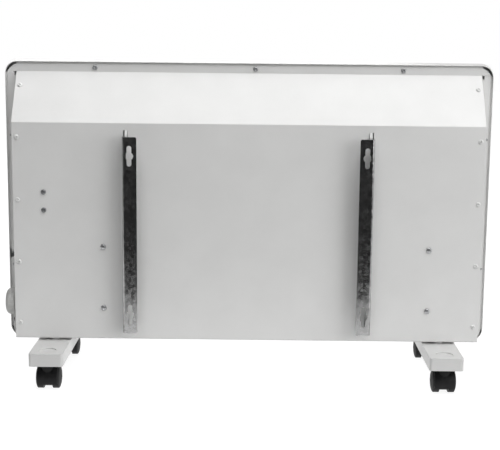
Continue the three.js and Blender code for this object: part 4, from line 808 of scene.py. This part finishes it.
# %% [markdown]
# ## The camera
# The photographer stood behind the heater, a little above it, and looked slightly down. A camera
# fitted to the edges of the casing and panel in the photograph gives its place and its angles: 9.55
# degrees down, 0.1 degrees to the side, and a roll of 0.6 degrees. A focal length of 1150 pixels on a
# picture 500 pixels wide is 82.8 mm on a 36 mm sensor.

# %% Camera at the photograph's viewing angle
CAMERA_PLACE = (-0.0068, 1.7974, 0.5432)
YAW, PITCH, ROLL = -0.0018, 0.1667, 0.0105
FOCAL_PIXELS, PICTURE_WIDTH, SENSOR_MM = 1150, 500, 36


def camera_axes(yaw, pitch, roll):
    """Right, up and backward axes of a camera that looks along -Y when yaw and pitch are zero:
    pitch tips its view down, and roll turns it about the line of sight."""
    ahead = np.array([-np.sin(yaw) * np.cos(pitch), -np.cos(yaw) * np.cos(pitch), -np.sin(pitch)])
    level = np.array([-np.cos(yaw), np.sin(yaw), 0.0])
    upright = np.cross(level, ahead)
    right = np.cos(roll) * level + np.sin(roll) * upright
    up = -np.sin(roll) * level + np.cos(roll) * upright
    return right, up, -ahead


camera_data = bpy.data.cameras.new("camera")
camera_data.sensor_width = SENSOR_MM
camera_data.lens = FOCAL_PIXELS * SENSOR_MM / PICTURE_WIDTH
camera = bpy.data.objects.new("camera", camera_data)
bpy.context.scene.collection.objects.link(camera)
turn = Matrix(np.array(camera_axes(YAW, PITCH, ROLL)).T.tolist()).to_4x4()
camera.matrix_world = Matrix.Translation(CAMERA_PLACE) @ turn
bpy.context.scene.camera = camera
print("lens:", round(camera_data.lens, 1), "mm")

# %% [markdown]
# ## Floor and light
# The heater stands on a white sweep in soft studio light. A wide softbox high up on the camera's side
# makes the slope of the casing its brightest face, a second one hangs overhead, and a low one on the
# right of the picture brightens that side. To the camera the floor and the surroundings are plain
# white, and the floor keeps the heater's shadow. The room itself is dark, and on the camera's side the
# sweep ends half a metre from the heater. A bracket's face therefore mirrors white floor low down and
# the dark room higher up, which is why bare metal turns from light grey to nearly black.

# %% Floor
def flat_card(name, corners, material):
    """A flat stage piece through four corners, in metres."""
    mesh = bpy.data.meshes.new(name)
    mesh.from_pydata(corners, [], [(0, 1, 2, 3)])
    mesh.materials.append(material)
    obj = bpy.data.objects.new(name, mesh)
    bpy.context.scene.collection.objects.link(obj)
    return obj


def seen_directly(tree):
    """1 for rays from the camera, from mirrors and through glass, and 0 for the rays that light things."""
    path = add(tree, "ShaderNodeLightPath").outputs
    shown = add(tree, "ShaderNodeMath", {0: path["Is Camera Ray"], 1: path["Is Glossy Ray"]},
                operation="MAXIMUM").outputs["Value"]
    return add(tree, "ShaderNodeMath", {0: shown, 1: path["Is Transmission Ray"]},
               operation="MAXIMUM").outputs["Value"]


PAPER_WHITE, SHADOW_SHARE, SWEEP_GLOW = 0.35, 0.25, 0.40
NEAR_GLOW, FAR_GLOW, GLOW_FROM, GLOW_TO = 0.92, 1.0, 0.8, 2.0
FLOOR_EDGE = 0.57
floor_paper, tree, place = start_material("matt_white_paper")
shown = seen_directly(tree)
fibres = ramp(tree, noise(tree, place, 3, detail=3.0), 0.96, 1.0)
tone = add(tree, "ShaderNodeMath", {0: fibres, 1: ramp(tree, shown, PAPER_WHITE, SHADOW_SHARE)},
           operation="MULTIPLY").outputs["Value"]
paper = add(tree, "ShaderNodeBsdfDiffuse",
            {"Color": add(tree, "ShaderNodeCombineColor",
                          {"Red": tone, "Green": tone, "Blue": tone}).outputs["Color"]})
away = add(tree, "ShaderNodeVectorMath", {0: place}, operation="LENGTH").outputs["Value"]
glow = ramp(tree, shown, SWEEP_GLOW, ramp(tree, away, NEAR_GLOW, FAR_GLOW, GLOW_FROM, GLOW_TO))
lift = add(tree, "ShaderNodeEmission", {"Strength": glow})
both = add(tree, "ShaderNodeAddShader", {0: paper.outputs[0], 1: lift.outputs[0]})
add(tree, "ShaderNodeOutputMaterial", {"Surface": both.outputs[0]})
flat_card("floor", [(-9, -9, 0), (9, -9, 0), (9, FLOOR_EDGE, 0), (-9, FLOOR_EDGE, 0)],
          floor_paper)
print("floor ends", FLOOR_EDGE, "m behind the heater, on the camera's side")

# %% [markdown]
# Outside the picture the room is nearly dark, and to the camera alone it is white. Five softboxes give
# the light, the last one on the front panel, which the photograph doesn't show. Light adds up, so one
# picture was made for each of some twenty possible lamps alone. The mix of these pictures that comes
# closest to the photograph's brightness on about forty patches showed where the lamps belong and
# their first powers, and trial renders settled the rest.

# %% Surroundings and lamps
scene = bpy.context.scene
scene.view_settings.view_transform = "Standard"
world = bpy.data.worlds.new("studio")
scene.world = world
world.use_nodes = True
tree = world.node_tree
tree.nodes.clear()
DARK_ROOM = 0.045
camera_only = add(tree, "ShaderNodeLightPath").outputs["Is Camera Ray"]
strength = ramp(tree, camera_only, DARK_ROOM, 1.0)
surroundings = add(tree, "ShaderNodeBackground", {"Color": (1, 1, 1, 1), "Strength": strength})
add(tree, "ShaderNodeOutputWorld", {"Surface": surroundings.outputs[0]})


def soft_lamp(name, place, aim, size, watts):
    """A softbox at place that faces aim: its backward axis points from aim to place. Its size is its
    width and height."""
    light = bpy.data.lights.new(name, "AREA")
    light.shape = "RECTANGLE"
    light.size, light.size_y = size
    light.energy = watts
    lamp = bpy.data.objects.new(name, light)
    bpy.context.scene.collection.objects.link(lamp)
    lamp.rotation_euler = (Vector(place) - Vector(aim)).to_track_quat("Z", "Y").to_euler()
    lamp.location = place
    return lamp


AIM = (0, 0, 0.28)
# place in metres, width and height, and watts
LAMPS = {"softbox_key": ((-0.2, 1.2, 2.36), (2.6, 1.4), 40),
         "softbox_overhead": ((0.0, -0.42, 2.64), (1.6, 1.6), 24),
         "fill_low_right": ((-1.9, 1.3, 0.8), (1.6, 1.4), 19),
         "fill_low_left": ((2.2, 2.2, 0.8), (2.6, 1.5), 1),
         "fill_front": ((0.6, -3.0, 1.3), (2.6, 1.6), 26)}
for name, (spot, size, watts) in LAMPS.items():
    soft_lamp(name, spot, AIM, size, watts)
print("lamps:", len(LAMPS))
